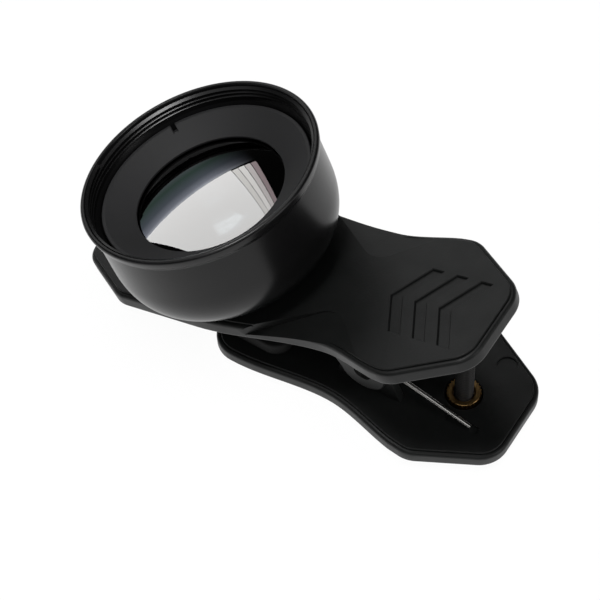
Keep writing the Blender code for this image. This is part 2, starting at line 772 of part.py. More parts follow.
def make_baffle(parent, mat):
    """Matt cone that screws in under the filter thread, with a notch for the spanner."""
    low = BAFFLE_TOP - BAFFLE_H
    profile = [
        (BAFFLE_LIP_R - BAFFLE_LIP_W, BAFFLE_TOP),
        (BAFFLE_LIP_R, BAFFLE_TOP),
        (BAFFLE_OUTER, BAFFLE_TOP - BAFFLE_RISE),
        (BAFFLE_OUTER, low),
        (BAFFLE_INNER_R, low),
        (BAFFLE_INNER_R, low + BAFFLE_EDGE),
    ]
    baffle = turned_ring("front_baffle", profile, mat, parent)
    half = NOTCH_W / 2.0
    reach = BAFFLE_OUTER + SEAT_GAP
    start = BAFFLE_LIP_R - NOTCH_L
    corners = [(start, -half, 0.0), (reach, -half, 0.0), (reach, half, 0.0), (start, half, 0.0)]
    floor = BAFFLE_TOP - NOTCH_DEPTH
    mesh = flat_mesh("spanner_notch", rounded(corners), floor, BAFFLE_TOP + NOTCH_DEPTH)
    mesh.transform(Matrix.Rotation(NOTCH_ANGLE, 4, "Z"))
    boolean(baffle, add_cutter("spanner_notch", mesh, parent), "DIFFERENCE")


def dome_height(radius, rise, x):
    """How far a dome stands off its edge plane at a distance x from the axis."""
    ball = (radius**2 + rise**2) / (2.0 * rise)
    return math.sqrt(ball**2 - x**2) - (ball - rise)


def dome(radius, rise, edge_z, way):
    """Points of a dome from the axis out to its edge; way is 1 for a top face and -1 for a bottom face."""
    arc = []
    for k in range(DOME_STEPS + 1):
        x = radius * k / DOME_STEPS
        arc.append((x, edge_z + way * dome_height(radius, rise, x)))
    return arc


def make_glass(name, radius, edge, top_z, top_dome, low_dome, mat, parent):
    profile = dome(radius, top_dome, top_z, 1.0) + dome(radius, low_dome, top_z - edge, -1.0)[::-1]
    turned_solid(name, profile, mat, parent, INNER_STEPS)


def make_cell(parent, mat):
    """Turned cell: pockets for the front and middle glass, and the threaded neck with the rear glass."""
    front_bore = FRONT_GLASS_R + SEAT_GAP
    middle_bore = MIDDLE_GLASS_R + SEAT_GAP
    rear_bore = REAR_GLASS_R + SEAT_GAP
    outer = front_bore + CELL_WALL
    lower_outer = middle_bore + CELL_WALL
    shoulder = 2.0 * SEAT_GAP + BARREL_WALL
    profile = [
        (front_bore, FRONT_TOP),
        (outer, FRONT_TOP),
        (outer, FRONT_SEAT - CELL_WAIST),
        (lower_outer, FRONT_SEAT - CELL_WAIST - CELL_WALL),
        (lower_outer, shoulder + CELL_SHOULDER),
        (lower_outer - CELL_SHOULDER, shoulder),
        (NECK_R, shoulder),
        (NECK_R, NECK_LOW + NECK_CHAMFER),
        (NECK_R - NECK_CHAMFER, NECK_LOW),
        (rear_bore, NECK_LOW),
        (rear_bore, REAR_TOP + SEAT_GAP),
        (REAR_GLASS_R - GLASS_LEDGE, REAR_TOP + SEAT_GAP),
        (REAR_GLASS_R - GLASS_LEDGE, REAR_TOP + SEAT_GAP + CELL_RIB),
        (MIDDLE_GLASS_R - GLASS_LEDGE, MIDDLE_SEAT),
        (middle_bore, MIDDLE_SEAT),
        (middle_bore, FRONT_SEAT),
        (front_bore, FRONT_SEAT),
    ]
    turned_ring("optics_cell", profile, mat, parent, INNER_STEPS)


def make_optics(parent, glass, metal):
    """Three glasses, the ring between the first two and the ring that holds the last."""
    sizes = {
        "front_glass": (FRONT_GLASS_R, FRONT_GLASS_EDGE, FRONT_TOP, FRONT_DOME, FRONT_BACK_DOME),
        "middle_glass": (MIDDLE_GLASS_R, MIDDLE_GLASS_EDGE, MIDDLE_TOP, MIDDLE_DOME, MIDDLE_DOME),
        "rear_glass": (REAR_GLASS_R, REAR_GLASS_EDGE, REAR_TOP, REAR_DOME, REAR_DOME),
    }
    for name, size in sizes.items():
        make_glass(name, *size, glass, parent)
    outer = MIDDLE_GLASS_R
    inner = outer - SPACER_WALL
    spacer_high = FRONT_SEAT - dome_height(FRONT_GLASS_R, FRONT_BACK_DOME, inner)
    spacer_low = MIDDLE_TOP + dome_height(MIDDLE_GLASS_R, MIDDLE_DOME, inner) + SEAT_GAP
    spacer = [(inner, spacer_high), (outer, spacer_high), (outer, spacer_low), (inner, spacer_low)]
    turned_ring("spacer_ring", spacer, metal, parent, INNER_STEPS)
    ring_in = REAR_GLASS_R - RETAINER_WALL
    ring_low = NECK_LOW + RETAINER_RECESS
    ring_high = ring_low + RETAINER_H
    retainer = [
        (ring_in, ring_high),
        (REAR_GLASS_R, ring_high),
        (REAR_GLASS_R, ring_low),
        (ring_in + EDGE_BREAK, ring_low),
    ]
    turned_ring("rear_retainer", retainer, metal, parent, INNER_STEPS)


def world_bounds(objects):
    graph = bpy.context.evaluated_depsgraph_get()
    points = []
    for obj in objects:
        shape = obj.evaluated_get(graph)
        mesh = shape.to_mesh()
        points += [obj.matrix_world @ vertex.co for vertex in mesh.vertices]
        shape.to_mesh_clear()
    low = Vector([min(point[i] for point in points) for i in range(3)])
    high = Vector([max(point[i] for point in points) for i in range(3)])
    return low, high


def set_down(root):
    """Moves the whole clip so that it stands on z = 0 with its box centred on the origin."""
    bpy.context.view_layer.update()
    solids = [obj for obj in bpy.data.collections[PARTS].objects if obj.type == "MESH"]
    low, high = world_bounds(solids)
    root.location = (-(low.x + high.x) / 2.0, 0.0, -low.z)
    bpy.context.view_layer.update()


def main():
    clear_scene()
    make_collection(PARTS)
    make_collection(CUTTERS)

    shell = material("clip_plastic", (0.020, 0.021, 0.022), 0.50, 0.0)
    rubber = material("pad_rubber", (0.015, 0.015, 0.015), 0.85, 0.0)
    steel = material("spring_steel", (0.62, 0.62, 0.60), 0.28, 1.0)
    brass = material("insert_brass", (0.72, 0.46, 0.20), 0.32, 1.0)
    screw_black = material("screw_black", (0.030, 0.030, 0.030), 0.45, 0.6)
    knob_black = material("knob_plastic", (0.022, 0.022, 0.023), 0.55, 0.0)
    anodised = material("barrel_anodised", (0.030, 0.030, 0.031), 0.32, 0.5)
    matt = material("baffle_matt", (0.045, 0.045, 0.046), 0.70, 0.0)
    dark_metal = material("cell_black", (0.012, 0.012, 0.012), 0.60, 0.3)
    glass = material("lens_glass", (0.90, 0.93, 0.95), 0.02, 0.0)

    lower = add_empty("lower_frame", None, (0.0, 0.0, 0.0), 0.0)
    upper = add_empty("upper_frame", lower, (0.0, 0.0, 0.0), JAW_ANGLE)
    lens = add_empty("lens_frame", upper, (-LENS_X, 0.0, UPPER_FACE), 0.0)

    make_clip_upper(upper, shell)
    make_clip_lower(lower, shell)
    make_pads(upper, lower, rubber)
    make_pin(lower, steel)
    make_spring(lower, steel)
    make_insert(lower, brass)
    make_screw(lower, screw_black, knob_black)
    make_barrel(lens, anodised)
    make_baffle(lens, matt)
    make_cell(lens, dark_metal)
    make_optics(lens, glass, dark_metal)
    set_down(lower)


main()
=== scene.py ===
"""Looks of the clip-on phone lens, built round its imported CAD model, from the lower jaw up to the glass."""

import json
import math
from functools import partial

import bmesh
import bpy
from mathutils import Matrix, Vector


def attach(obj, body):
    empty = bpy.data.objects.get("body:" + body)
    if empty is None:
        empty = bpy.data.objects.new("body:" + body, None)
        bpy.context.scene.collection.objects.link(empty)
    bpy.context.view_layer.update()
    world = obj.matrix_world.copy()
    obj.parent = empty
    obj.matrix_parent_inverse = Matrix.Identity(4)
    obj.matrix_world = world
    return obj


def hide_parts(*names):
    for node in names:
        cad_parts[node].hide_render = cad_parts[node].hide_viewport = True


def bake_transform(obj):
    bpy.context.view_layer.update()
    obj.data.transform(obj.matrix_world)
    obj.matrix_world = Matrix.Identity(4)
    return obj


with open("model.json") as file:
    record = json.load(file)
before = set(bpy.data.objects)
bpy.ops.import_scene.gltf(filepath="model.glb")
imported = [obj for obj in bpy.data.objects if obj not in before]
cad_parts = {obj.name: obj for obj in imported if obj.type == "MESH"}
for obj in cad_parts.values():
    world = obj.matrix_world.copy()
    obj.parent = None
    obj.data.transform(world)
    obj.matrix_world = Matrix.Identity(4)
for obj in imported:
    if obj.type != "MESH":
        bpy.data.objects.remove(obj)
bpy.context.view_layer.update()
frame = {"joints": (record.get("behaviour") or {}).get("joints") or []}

# The view: the clip lies on a pale table, on its knob and the tip of its upper jaw. The photograph was taken
# from the handle's side and well above it, with a long lens; its camera was worked out from the rim's ellipse
# and the corners of both plates, in the frame of the lens.
MM = 0.001
JAW_ANGLE = math.radians(20.4)
LENS_X = 25.3
UPPER_FACE = 10.7
RIM_R = 19.5

hinge_at = Vector(next(j["pos_m"] for j in frame["joints"] if j["name"] == "jaw_hinge"))
lower_place = Matrix.Translation(hinge_at)
upper_place = lower_place @ Matrix.Rotation(-JAW_ANGLE, 4, "Y")
lens_place = upper_place @ Matrix.Translation((-LENS_X * MM, 0.0, UPPER_FACE * MM))

CAMERA_AT = Vector((10.448, -7.357, 11.020)) * RIM_R * MM
CAMERA_RIGHT = Vector((0.77411, 0.53998, -0.33041))
CAMERA_UP = Vector((-0.22214, 0.72045, 0.65697))
CAMERA_FOCAL = 125.2
CAMERA_SENSOR = 36.0

camera = bpy.data.objects.new("camera", bpy.data.cameras.new("camera"))
bpy.context.scene.collection.objects.link(camera)
camera_turn = Matrix((CAMERA_RIGHT, CAMERA_UP, CAMERA_RIGHT.cross(CAMERA_UP))).transposed().to_4x4()
camera.matrix_world = lens_place @ Matrix.Translation(CAMERA_AT) @ camera_turn
camera.data.lens = CAMERA_FOCAL
camera.data.sensor_width = CAMERA_SENSOR
camera.data.clip_start = 0.01
camera.data.clip_end = 10.0
bpy.context.scene.camera = camera
bpy.context.scene.view_settings.view_transform = "Standard"

FLOOR_HALF = 3.0
FLOOR_GREY = 0.88
floor_mesh = bpy.data.meshes.new("floor")
floor_corners = [(-1, -1), (1, -1), (1, 1), (-1, 1)]
floor_mesh.from_pydata([(x * FLOOR_HALF, y * FLOOR_HALF, 0.0) for x, y in floor_corners], [], [(0, 1, 2, 3)])
floor = bpy.data.objects.new("floor", floor_mesh)
bpy.context.scene.collection.objects.link(floor)


def feed(slot, value):
    """Gives a socket a value, or links another socket or a node's first output to it."""
    if isinstance(value, bpy.types.Node):
        value = value.outputs[0]
    if isinstance(value, bpy.types.NodeSocket):
        slot.id_data.links.new(value, slot)
    else:
        slot.default_value = value


def set_inputs(node, **values):
    """Feeds a node's sockets by name; an underscore stands for a space."""
    for name, value in values.items():
        feed(node.inputs[name.replace("_", " ")], value)
    return node


def new_node(tree, kind, **values):
    """A new node with its sockets fed."""
    return set_inputs(tree.nodes.new(kind), **values)


def named_material(name):
    """A new material and its shader."""
    made = bpy.data.materials.new(name)
    made.use_nodes = True
    return made, made.node_tree.nodes["Principled BSDF"]


floor_paint, floor_shader = named_material("pale_table")
floor_colour = (FLOOR_GREY, FLOOR_GREY, FLOOR_GREY, 1.0)
set_inputs(floor_shader, Base_Color=floor_colour, Roughness=0.9, Specular_IOR_Level=0.1)
floor_mesh.materials.append(floor_paint)

# The light: a white tent whose lower walls are brighter than its roof, soft lamps round the clip, one lamp
# for the rim's thread, a wash over the table that the clip doesn't shade, and a window far to the left that
# shows in the glass only.
SKY_LOW = 0.32
SKY_HIGH = 0.19
SKY_BEND = 0.42


def faded(tree, value, ends, results):
    """A smooth change between two results while a value goes from one end to the other."""
    fade = new_node(tree, "ShaderNodeMapRange", Value=value, From_Min=ends[0], From_Max=ends[1])
    fade.interpolation_type = "SMOOTHSTEP"
    return set_inputs(fade, To_Min=results[0], To_Max=results[1])


world = bpy.data.worlds.new("tent")
world.use_nodes = True
sky_tree = world.node_tree
sky_way = new_node(sky_tree, "ShaderNodeTexCoord").outputs["Generated"]
sky_height = new_node(sky_tree, "ShaderNodeSeparateXYZ", Vector=sky_way).outputs["Z"]
sky_fade = faded(sky_tree, sky_height, (0.0, SKY_BEND), (SKY_LOW, SKY_HIGH))
set_inputs(sky_tree.nodes["Background"], Strength=sky_fade)
bpy.context.scene.world = world


def lamp(name, size, power, colour=(1.0, 1.0, 1.0)):
    """A rectangular lamp at the origin; its power is in watts."""
    light = bpy.data.lights.new(name, "AREA")
    light.shape = "RECTANGLE"
    light.size, light.size_y = size
    light.energy = power
    light.color = colour
    holder = bpy.data.objects.new(name, light)
    bpy.context.scene.collection.objects.link(holder)
    return holder


def softbox(name, at, size, power):
    """A large soft lamp that faces the clip."""
    holder = lamp(name, size, power)
    holder.location = at
    holder.rotation_euler = (-Vector(at)).to_track_quat("-Z", "Y").to_euler()
    return holder


glass_pieces = bpy.data.collections.new("glass_pieces")
not_lit_by_softboxes = bpy.data.collections.new("not_lit_by_softboxes")
only_floor = bpy.data.collections.new("only_floor")
only_barrel = bpy.data.collections.new("only_barrel")
only_floor.objects.link(floor)
not_lit_by_softboxes.objects.link(floor)
softboxes = [
    softbox("softbox_front", (0.30, -0.62, 0.90), (0.70, 0.70), 1.9),
    softbox("softbox_left", (-0.60, -0.35, 0.75), (0.50, 0.50), 0.5),
    softbox("softbox_right", (0.80, 0.10, 0.60), (0.40, 0.40), 2.0),
    softbox("softbox_back", (-0.60, 0.33, 0.40), (0.50, 0.45), 0.76),
    softbox("softbox_top", (-0.23, -0.07, 0.97), (0.22, 0.22), 2.8),
    softbox("softbox_high", (-0.35, 0.43, 0.83), (0.30, 0.30), 0.75),
]
for box in softboxes:
    box.light_linking.receiver_collection = not_lit_by_softboxes
rim_box = softbox("softbox_rim", (-0.20, -0.06, 0.97), (0.30, 0.42), 3.6)
rim_box.light_linking.receiver_collection = only_barrel
table_wash = softbox("table_wash", (0.0, 0.0, 2.0), (2.0, 2.0), 60.0)
table_wash.light_linking.receiver_collection = only_floor
table_wash.light_linking.blocker_collection = only_floor
GLASS_HEIGHT = 13.1
PANEL_DISTANCE = 1.0
glass_at = lens_place @ Vector((0.0, 0.0, GLASS_HEIGHT * MM))


def glass_panel(name, sides, heights, strength, colour):
    """An upright panel that lights the glass only, between two bearings and two elevations in degrees."""
    low, high = (math.radians(a) for a in sides)
    bottom, top = (PANEL_DISTANCE * math.tan(math.radians(a)) for a in heights)
    out = Vector((math.cos((low + high) / 2.0), math.sin((low + high) / 2.0), 0.0))
    size = (2.0 * PANEL_DISTANCE * math.tan((high - low) / 2.0), top - bottom)
    holder = lamp(name, size, math.pi * size[0] * size[1] * strength, colour)
    up = Vector((0.0, 0.0, 1.0))
    turn = Matrix((up.cross(out), up, out)).transposed().to_4x4()
    middle = glass_at + out * PANEL_DISTANCE + up * (top + bottom) / 2.0
    holder.matrix_world = Matrix.Translation(middle) @ turn
    holder.visible_camera = False
    holder.light_linking.receiver_collection = glass_pieces
    return holder


WINDOW_HEIGHTS = (19.0, 62.0)
window_panes = [
    ("window", (144.12, 170.2), 6.1, (1.0, 0.995, 0.985)),
    ("window_edge_1", (142.55, 144.0), 5.0, (1.0, 0.98, 0.95)),
    ("window_edge_2", (141.05, 142.43), 5.4, (1.0, 0.98, 0.96)),
    ("window_edge_3", (139.6, 140.93), 3.8, (1.0, 0.94, 0.93)),
    ("window_edge_4", (138.2, 139.45), 2.0, (1.0, 0.80, 0.84)),
]
for pane, sides, strength, colour in window_panes:
    glass_panel(pane, sides, WINDOW_HEIGHTS, strength, colour)

# The wall under the window fades downwards: a pale lavender, then the coating's green, then a bluish grey. It
# fades towards its two ends as well.
SILL_SIDES = (138.0, 180.0)
SILL_HEIGHTS = (-1.5, WINDOW_HEIGHTS[0])
SILL_TONES = [
    (0.00, (0.10, 0.10, 0.11)),
    (0.30, (0.75, 0.85, 0.95)),
    (0.52, (0.32, 0.55, 0.46)),
    (0.76, (0.80, 0.95, 1.15)),
    (0.92, (2.20, 2.35, 2.80)),
    (1.00, (5.20, 5.40, 6.00)),
]
SILL_TOP = 6.0
SILL_GLOW = 3.2
SILL_EVEN = 0.20


def math_node(tree, operation, *values):
    """The result of a new math node."""
    node = tree.nodes.new("ShaderNodeMath")
    node.operation = operation
    for slot, value in zip(node.inputs, values):
        feed(slot, value)
    return node.outputs[0]


sill = glass_panel("window_sill", SILL_SIDES, SILL_HEIGHTS, 1.0, (1.0, 1.0, 1.0))
sill.data.use_nodes = True
sill_tree = sill.data.node_tree
sill_spot = new_node(sill_tree, "ShaderNodeNewGeometry").outputs["Parametric"]
sill_parts = new_node(sill_tree, "ShaderNodeSeparateXYZ", Vector=sill_spot).outputs
sill_ramp = new_node(sill_tree, "ShaderNodeValToRGB", Fac=sill_parts["Y"])
while len(sill_ramp.color_ramp.elements) < len(SILL_TONES):
    sill_ramp.color_ramp.elements.new(0.5)
for stop, (place, tone) in zip(sill_ramp.color_ramp.elements, SILL_TONES):
    stop.position = place
    stop.color = (*(value / SILL_TOP for value in tone), 1.0)
sill_away = math_node(sill_tree, "ABSOLUTE", math_node(sill_tree, "SUBTRACT", sill_parts["X"], 0.5))
sill_ends = faded(sill_tree, sill_away, (SILL_EVEN, 0.5), (SILL_GLOW, 0.0))
set_inputs(sill_tree.nodes["Emission"], Color=sill_ramp, Strength=sill_ends)


# Lower half of the clip: one black nylon moulding with a fine grain. Its handle is six-sided, its raised
# panel has a fine line round it, and it has two inner hinge ears, the insert's hole and the spring's groove.
def new_socket(tree, name, kind, way="INPUT"):
    """A new socket of a node group; an underscore in its name stands for a space."""
    return tree.interface.new_socket(name.replace("_", " "), in_out=way, socket_type="NodeSocket" + kind)


def effect_group(name, outputs, **inputs):
    """A shader node group with a vector and number inputs; gives it, its inputs and its output node."""
    group = bpy.data.node_groups.new(name, "ShaderNodeTree")
    new_socket(group, "Vector", "Vector")
    for socket, value in inputs.items():
        new_socket(group, socket, "Float").default_value = value
    for socket in outputs:
        new_socket(group, socket, "Float", "OUTPUT")
    return group, group.nodes.new("NodeGroupInput").outputs, group.nodes.new("NodeGroupOutput")


def noise(tree, spot, scale, detail):
    """A noise texture."""
    return new_node(tree, "ShaderNodeTexNoise", Vector=spot, Scale=scale, Detail=detail)


# Spark-eroded grain, faint flow clouds and a few rubbed spots of a moulded surface.
GRAIN_SCALE = 2600.0
CLOUD_SCALE = 90.0
RUBBED_SCALE = 340.0
grain_group, given, result = effect_group(
    "moulded_grain", ["Height", "Roughness", "Cloud"], Base_Roughness=0.5, Roughness_Spread=0.1
)
fine = noise(grain_group, given["Vector"], GRAIN_SCALE, 2.0)
cloud = noise(grain_group, given["Vector"], CLOUD_SCALE, 3.0)
rubbed = noise(grain_group, given["Vector"], RUBBED_SCALE, 1.0)
uneven = math_node(grain_group, "MULTIPLY", cloud, rubbed)
rough = math_node(grain_group, "MULTIPLY_ADD", uneven, given["Roughness Spread"], given["Base Roughness"])
set_inputs(result, Height=fine, Roughness=rough, Cloud=cloud)


def place_group(tree, group, **values):
    """The outputs of a node group placed in a tree, with its sockets fed."""
    node = tree.nodes.new("ShaderNodeGroup")
    node.node_tree = group
    return set_inputs(node, **values).outputs


def two_tones(tree, mask, dark, light):
    """A colour between two tones, by a mask."""
    mix = tree.nodes.new("ShaderNodeMix")
    mix.data_type = "RGBA"
    return set_inputs(mix, Factor=mask, A=(*dark, 1.0), B=(*light, 1.0)).outputs["Result"]


def bumped(shader, height, distance):
    """Small relief on a shader; the distance is in metres."""
    set_inputs(shader, Normal=new_node(shader.id_data, "ShaderNodeBump", Height=height, Distance=distance))


def object_spot(tree):
    """Object coordinates."""
    return new_node(tree, "ShaderNodeTexCoord").outputs["Object"]


GRAIN_SPREAD = 0.3


def moulded_plastic(name, dark, light, roughness, grain_height, shine=0.5):
    """Black moulded plastic: satin, grained, a little uneven in tone."""
    made, shader = named_material(name)
    tree = made.node_tree
    grain = place_group(
        tree, grain_group, Vector=object_spot(tree), Base_Roughness=roughness, Roughness_Spread=GRAIN_SPREAD
    )
    tone = two_tones(tree, grain["Cloud"], dark, light)
    set_inputs(shader, Base_Color=tone, Roughness=grain["Roughness"], Specular_IOR_Level=shine)
    bumped(shader, grain["Height"], grain_height)
    return made


clip_plastic = moulded_plastic(
    "clip_plastic", (0.0072, 0.0078, 0.0076), (0.0108, 0.0116, 0.0113), 0.34, 0.000015, 0.27
)

PLATE_T = 2.9
PANEL_RISE = 0.3
EDGE_ROUND = 0.6
HANDLE_ROUND = 5.0
LINE_DEPTH = 0.14
SIDE_STEPS = 14
CORNER_STEPS = 12
ROUND_STEPS = 6
LOWER_FACE = -6.2


def arc_corners(corners, steps=CORNER_STEPS):
    """Points of an outline whose corners (x, y, radius) are rounded by arcs; radius 0 keeps one sharp."""
    points = []
    count = len(corners)
    for i, (x, y, radius) in enumerate(corners):
        here = Vector((x, y))
        if radius == 0.0:
            points.append(here)
            continue
        back = (Vector(corners[i - 1][:2]) - here).normalized()
        ahead = (Vector(corners[(i + 1) % count][:2]) - here).normalized()
        half = back.angle(ahead) / 2.0
        centre = here + (back + ahead).normalized() * (radius / math.sin(half))
        start = here + back * (radius / math.tan(half)) - centre
        sweep = start.angle_signed(here + ahead * (radius / math.tan(half)) - centre)
        for k in range(steps + 1):
            turned = start.copy()
            turned.rotate(Matrix.Rotation(-sweep * k / steps, 2))
            points.append(centre + turned)
    return points


def box_outline(start, end, low, high, start_round, end_round, steps=CORNER_STEPS):
    """Outline of a rectangle; the corners at its start and at its end have their own rounding."""
    near = [(start, low, start_round), (end, low, end_round)]
    far = [(end, high, end_round), (start, high, start_round)]
    return arc_corners(near + far, steps)


def inset(points, distance):
    """The same anticlockwise outline moved inwards."""
    moved = []
    count = len(points)
    for i, here in enumerate(points):
        back = (here - points[i - 1]).normalized()
        ahead = (points[(i + 1) % count] - here).normalized()
        normal_back = Vector((-back.y, back.x))
        normal_ahead = Vector((-ahead.y, ahead.x))
        normal = (normal_back + normal_ahead).normalized()
        moved.append(here + normal * (distance / normal.dot(normal_ahead)))
    return moved


def waist_points(start, waist, end):
    """Side of a plate from the jaw through the waist to the handle, each given as (x, half width)."""
    side = []
    for (x_a, half_a), (x_b, half_b) in ((start, waist), (waist, end)):
        for k in range(SIDE_STEPS):
            t = k / SIDE_STEPS
            side.append((x_a + (x_b - x_a) * t, half_a + (half_b - half_a) * t * t * (3.0 - 2.0 * t), 0.0))
    return side[:-2]


def plate_outline(jaw_corners, side, handle_corners):
    """Anticlockwise outline of a clip plate: near side to +X, round the handle, back on the far side."""
    half = jaw_corners + side + handle_corners
    near = [(x, -y, r) for x, y, r in half]
    return arc_corners(near + half[::-1])


def write_mesh(work, mesh):
    """Writes a finished shape to a mesh, with its faces outward."""
    bmesh.ops.recalc_face_normals(work, faces=work.faces)
    work.to_mesh(mesh)
    work.free()
    return mesh


def layered_mesh(name, layers):
    """A closed shape from layers of (outline, height) in mm, from the bottom up, with flat ends."""
    work = bmesh.new()
    rings = [[work.verts.new((x * MM, y * MM, z * MM)) for x, y in outline] for outline, z in layers]
    for one, two in zip(rings, rings[1:]):
        for k in range(len(one)):
            ahead = (k + 1) % len(one)
            work.faces.new((one[k], one[ahead], two[ahead], two[k]))
    work.faces.new(rings[0][::-1])
    work.faces.new(rings[-1])
    return write_mesh(work, bpy.data.meshes.new(name))


def rounded_layers(outline, low, high, low_round, high_round, steps=ROUND_STEPS):
    """Layers of a flat piece with rounded lower and upper edges."""
    turns = [math.pi / 2.0 * k / steps for k in range(steps + 1)]
    layers = []
    for turn in turns:
        across = low_round * (1.0 - math.sin(turn))
        layers.append((inset(outline, across), low + low_round * (1.0 - math.cos(turn))))
    for turn in turns:
        across = high_round * (1.0 - math.cos(turn))
        layers.append((inset(outline, across), high - high_round * (1.0 - math.sin(turn))))
    return layers


# The sunk line and the raised panel, each point as (inwards from the rounded edge, height over it).
PANEL_POINTS = [
    (0.05, -LINE_DEPTH),
    (0.13, -LINE_DEPTH),
    (0.16, PANEL_RISE - 0.12),
    (0.19, PANEL_RISE - 0.05),
    (0.24, PANEL_RISE - 0.015),
    (0.31, PANEL_RISE),
]


def plate_layers(outline, low):
    """Layers of a clip plate: rounded edges, a fine sunk line, and the raised panel inside it."""
    base = low + PLATE_T - PANEL_RISE
    panel = [(inset(outline, EDGE_ROUND + across), base + rise) for across, rise in PANEL_POINTS]
    return rounded_layers(outline, low, base, EDGE_ROUND, EDGE_ROUND) + panel


def evaluated_mesh(holder):
    """The finished mesh of an object with modifiers; the object itself is removed."""
    bpy.context.scene.collection.objects.link(holder)
    bpy.context.view_layer.update()
    graph = bpy.context.evaluated_depsgraph_get()
    mesh = bpy.data.meshes.new_from_object(holder.evaluated_get(graph))
    bpy.data.objects.remove(holder, do_unlink=True)
    return mesh


SHARP = 32.0


def evenly_shaded(mesh, sharp_angle=SHARP):
    """Smooth shading with sharp edges kept, in which the large flat faces stay flat."""
    mesh.shade_smooth()
    mesh.set_sharp_from_angle(angle=math.radians(sharp_angle))
    holder = bpy.data.objects.new("shaded", mesh)
    even = holder.modifiers.new("even", "WEIGHTED_NORMAL")
    even.keep_sharp = True
    return evaluated_mesh(holder)


def carved(mesh, tools, sharp_angle=SHARP):
    """The mesh with other shapes joined to it or cut out of it, in order, and evenly shaded."""
    holder = bpy.data.objects.new("carved", mesh)
    helpers = []
    for tool_mesh, operation in tools:
        helper = bpy.data.objects.new(tool_mesh.name, tool_mesh)
        bpy.context.scene.collection.objects.link(helper)
        helpers.append(helper)
        cut = holder.modifiers.new(tool_mesh.name, "BOOLEAN")
        cut.operation = operation
        cut.solver = "EXACT"
        cut.object = helper
    result = evaluated_mesh(holder)
    for helper in helpers:
        bpy.data.objects.remove(helper, do_unlink=True)
    return evenly_shaded(result, sharp_angle)


def add_piece(node, way, mesh, place, made, body):
    """A finished piece that stands for its CAD node, on its body or on none.

    Its name adds the way it is made to the node's. Its slot is its material's name, without the number that
    keeps it apart from the CAD's own.
    """
    name = f"{node}_{way}"
    mesh.transform(place)
    mesh.name = name
    holder = bpy.data.objects.new(name, mesh)
    bpy.context.scene.collection.objects.link(holder)
    mesh.materials.clear()
    mesh.materials.append(made)
    if body:
        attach(holder, body)
    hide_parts(node)
    return holder


LOWER_TIP = 26.5
LOWER_JAW_HALF = 12.7
LOWER_HANDLE = (11.0, 13.7)
LOWER_HANDLE_END = (23.4, 7.3)
lower_side = waist_points((-21.5, LOWER_JAW_HALF), (-5.0, 10.85), LOWER_HANDLE)
lower_outline = plate_outline(
    [(-LOWER_TIP, LOWER_JAW_HALF, 4.6)],
    lower_side,
    [(*LOWER_HANDLE, HANDLE_ROUND), (*LOWER_HANDLE_END, HANDLE_ROUND)],
)

EAR_T = 1.4
EAR_ROUND = 0.22
LOWER_EAR_R = 3.6
UPPER_EAR_R = 3.9
UPPER_EAR_Y = 8.2
EAR_FOOT = 6.0
EAR_STEPS = 36
PIN_R = 1.4
PIN_HOLE_R = 1.5
SIDE_GAP = 0.2
across_place = Matrix.Rotation(math.radians(90.0), 4, "X")


def ear_mesh(name, radius, foot_z, y):
    """A hinge ear: a round lobe on the axis that widens into the plate at foot_z."""
    up = 1.0 if foot_z > 0 else -1.0
    lobe = []
    for k in range(EAR_STEPS + 1):
        turn = math.pi * k / EAR_STEPS
        lobe.append(Vector((radius * math.cos(turn), -up * radius * math.sin(turn))))
    outline = [Vector((EAR_FOOT, foot_z))] + lobe + [Vector((-EAR_FOOT, foot_z))]
    if up > 0:
        outline.reverse()
    mesh = layered_mesh(name, rounded_layers(outline, -EAR_T / 2.0, EAR_T / 2.0, EAR_ROUND, EAR_ROUND, 4))
    mesh.transform(Matrix.Translation((0.0, y * MM, 0.0)) @ across_place)
    return mesh


HOLE_STEPS = 72
FINE_HOLE_STEPS = 96
SMALL_HOLE_STEPS = 48


def rod_mesh(name, radius, low, high, at=(0.0, 0.0), steps=HOLE_STEPS, flare=0.0):
    """An upright round cutter, with an optional flare at its top end."""
    ring = [math.tau * k / steps for k in range(steps)]
    layers = []
    for r, z in ((radius, low), (radius + flare, high)):
        layers.append(([Vector((at[0] + r * math.cos(a), at[1] + r * math.sin(a))) for a in ring], z))
    return layered_mesh(name, layers)


def pin_hole(name, half):
    """A cutter along the hinge axis."""
    mesh = rod_mesh(name, PIN_HOLE_R, -half, half, steps=SMALL_HOLE_STEPS)
    mesh.transform(across_place)
    return mesh


SCREW_X = 13.3
INSERT_R = 2.8
INSERT_HOLE_R = 3.0
MARK_AT = (16.6, 7.7)
MARK_R = 1.65
MARK_DEPTH = 0.3
MARK_FLARE = 0.06
MARK_OVER = 0.2
LEG_REACH = 17.2
LEG_SPLAY = 0.6
WIRE_R = 0.4
COIL_END_GAP = 0.6
LEG_Y = UPPER_EAR_Y - 2.0 * EAR_T - SIDE_GAP - COIL_END_GAP - WIRE_R
GROOVE_DEPTH = 0.35
GROOVE_HALF = 0.7
GROOVE_ROUND = 0.5
GROOVE_BACK = 4.0
GROOVE_FRONT = 1.4
CLEAR = 1.0

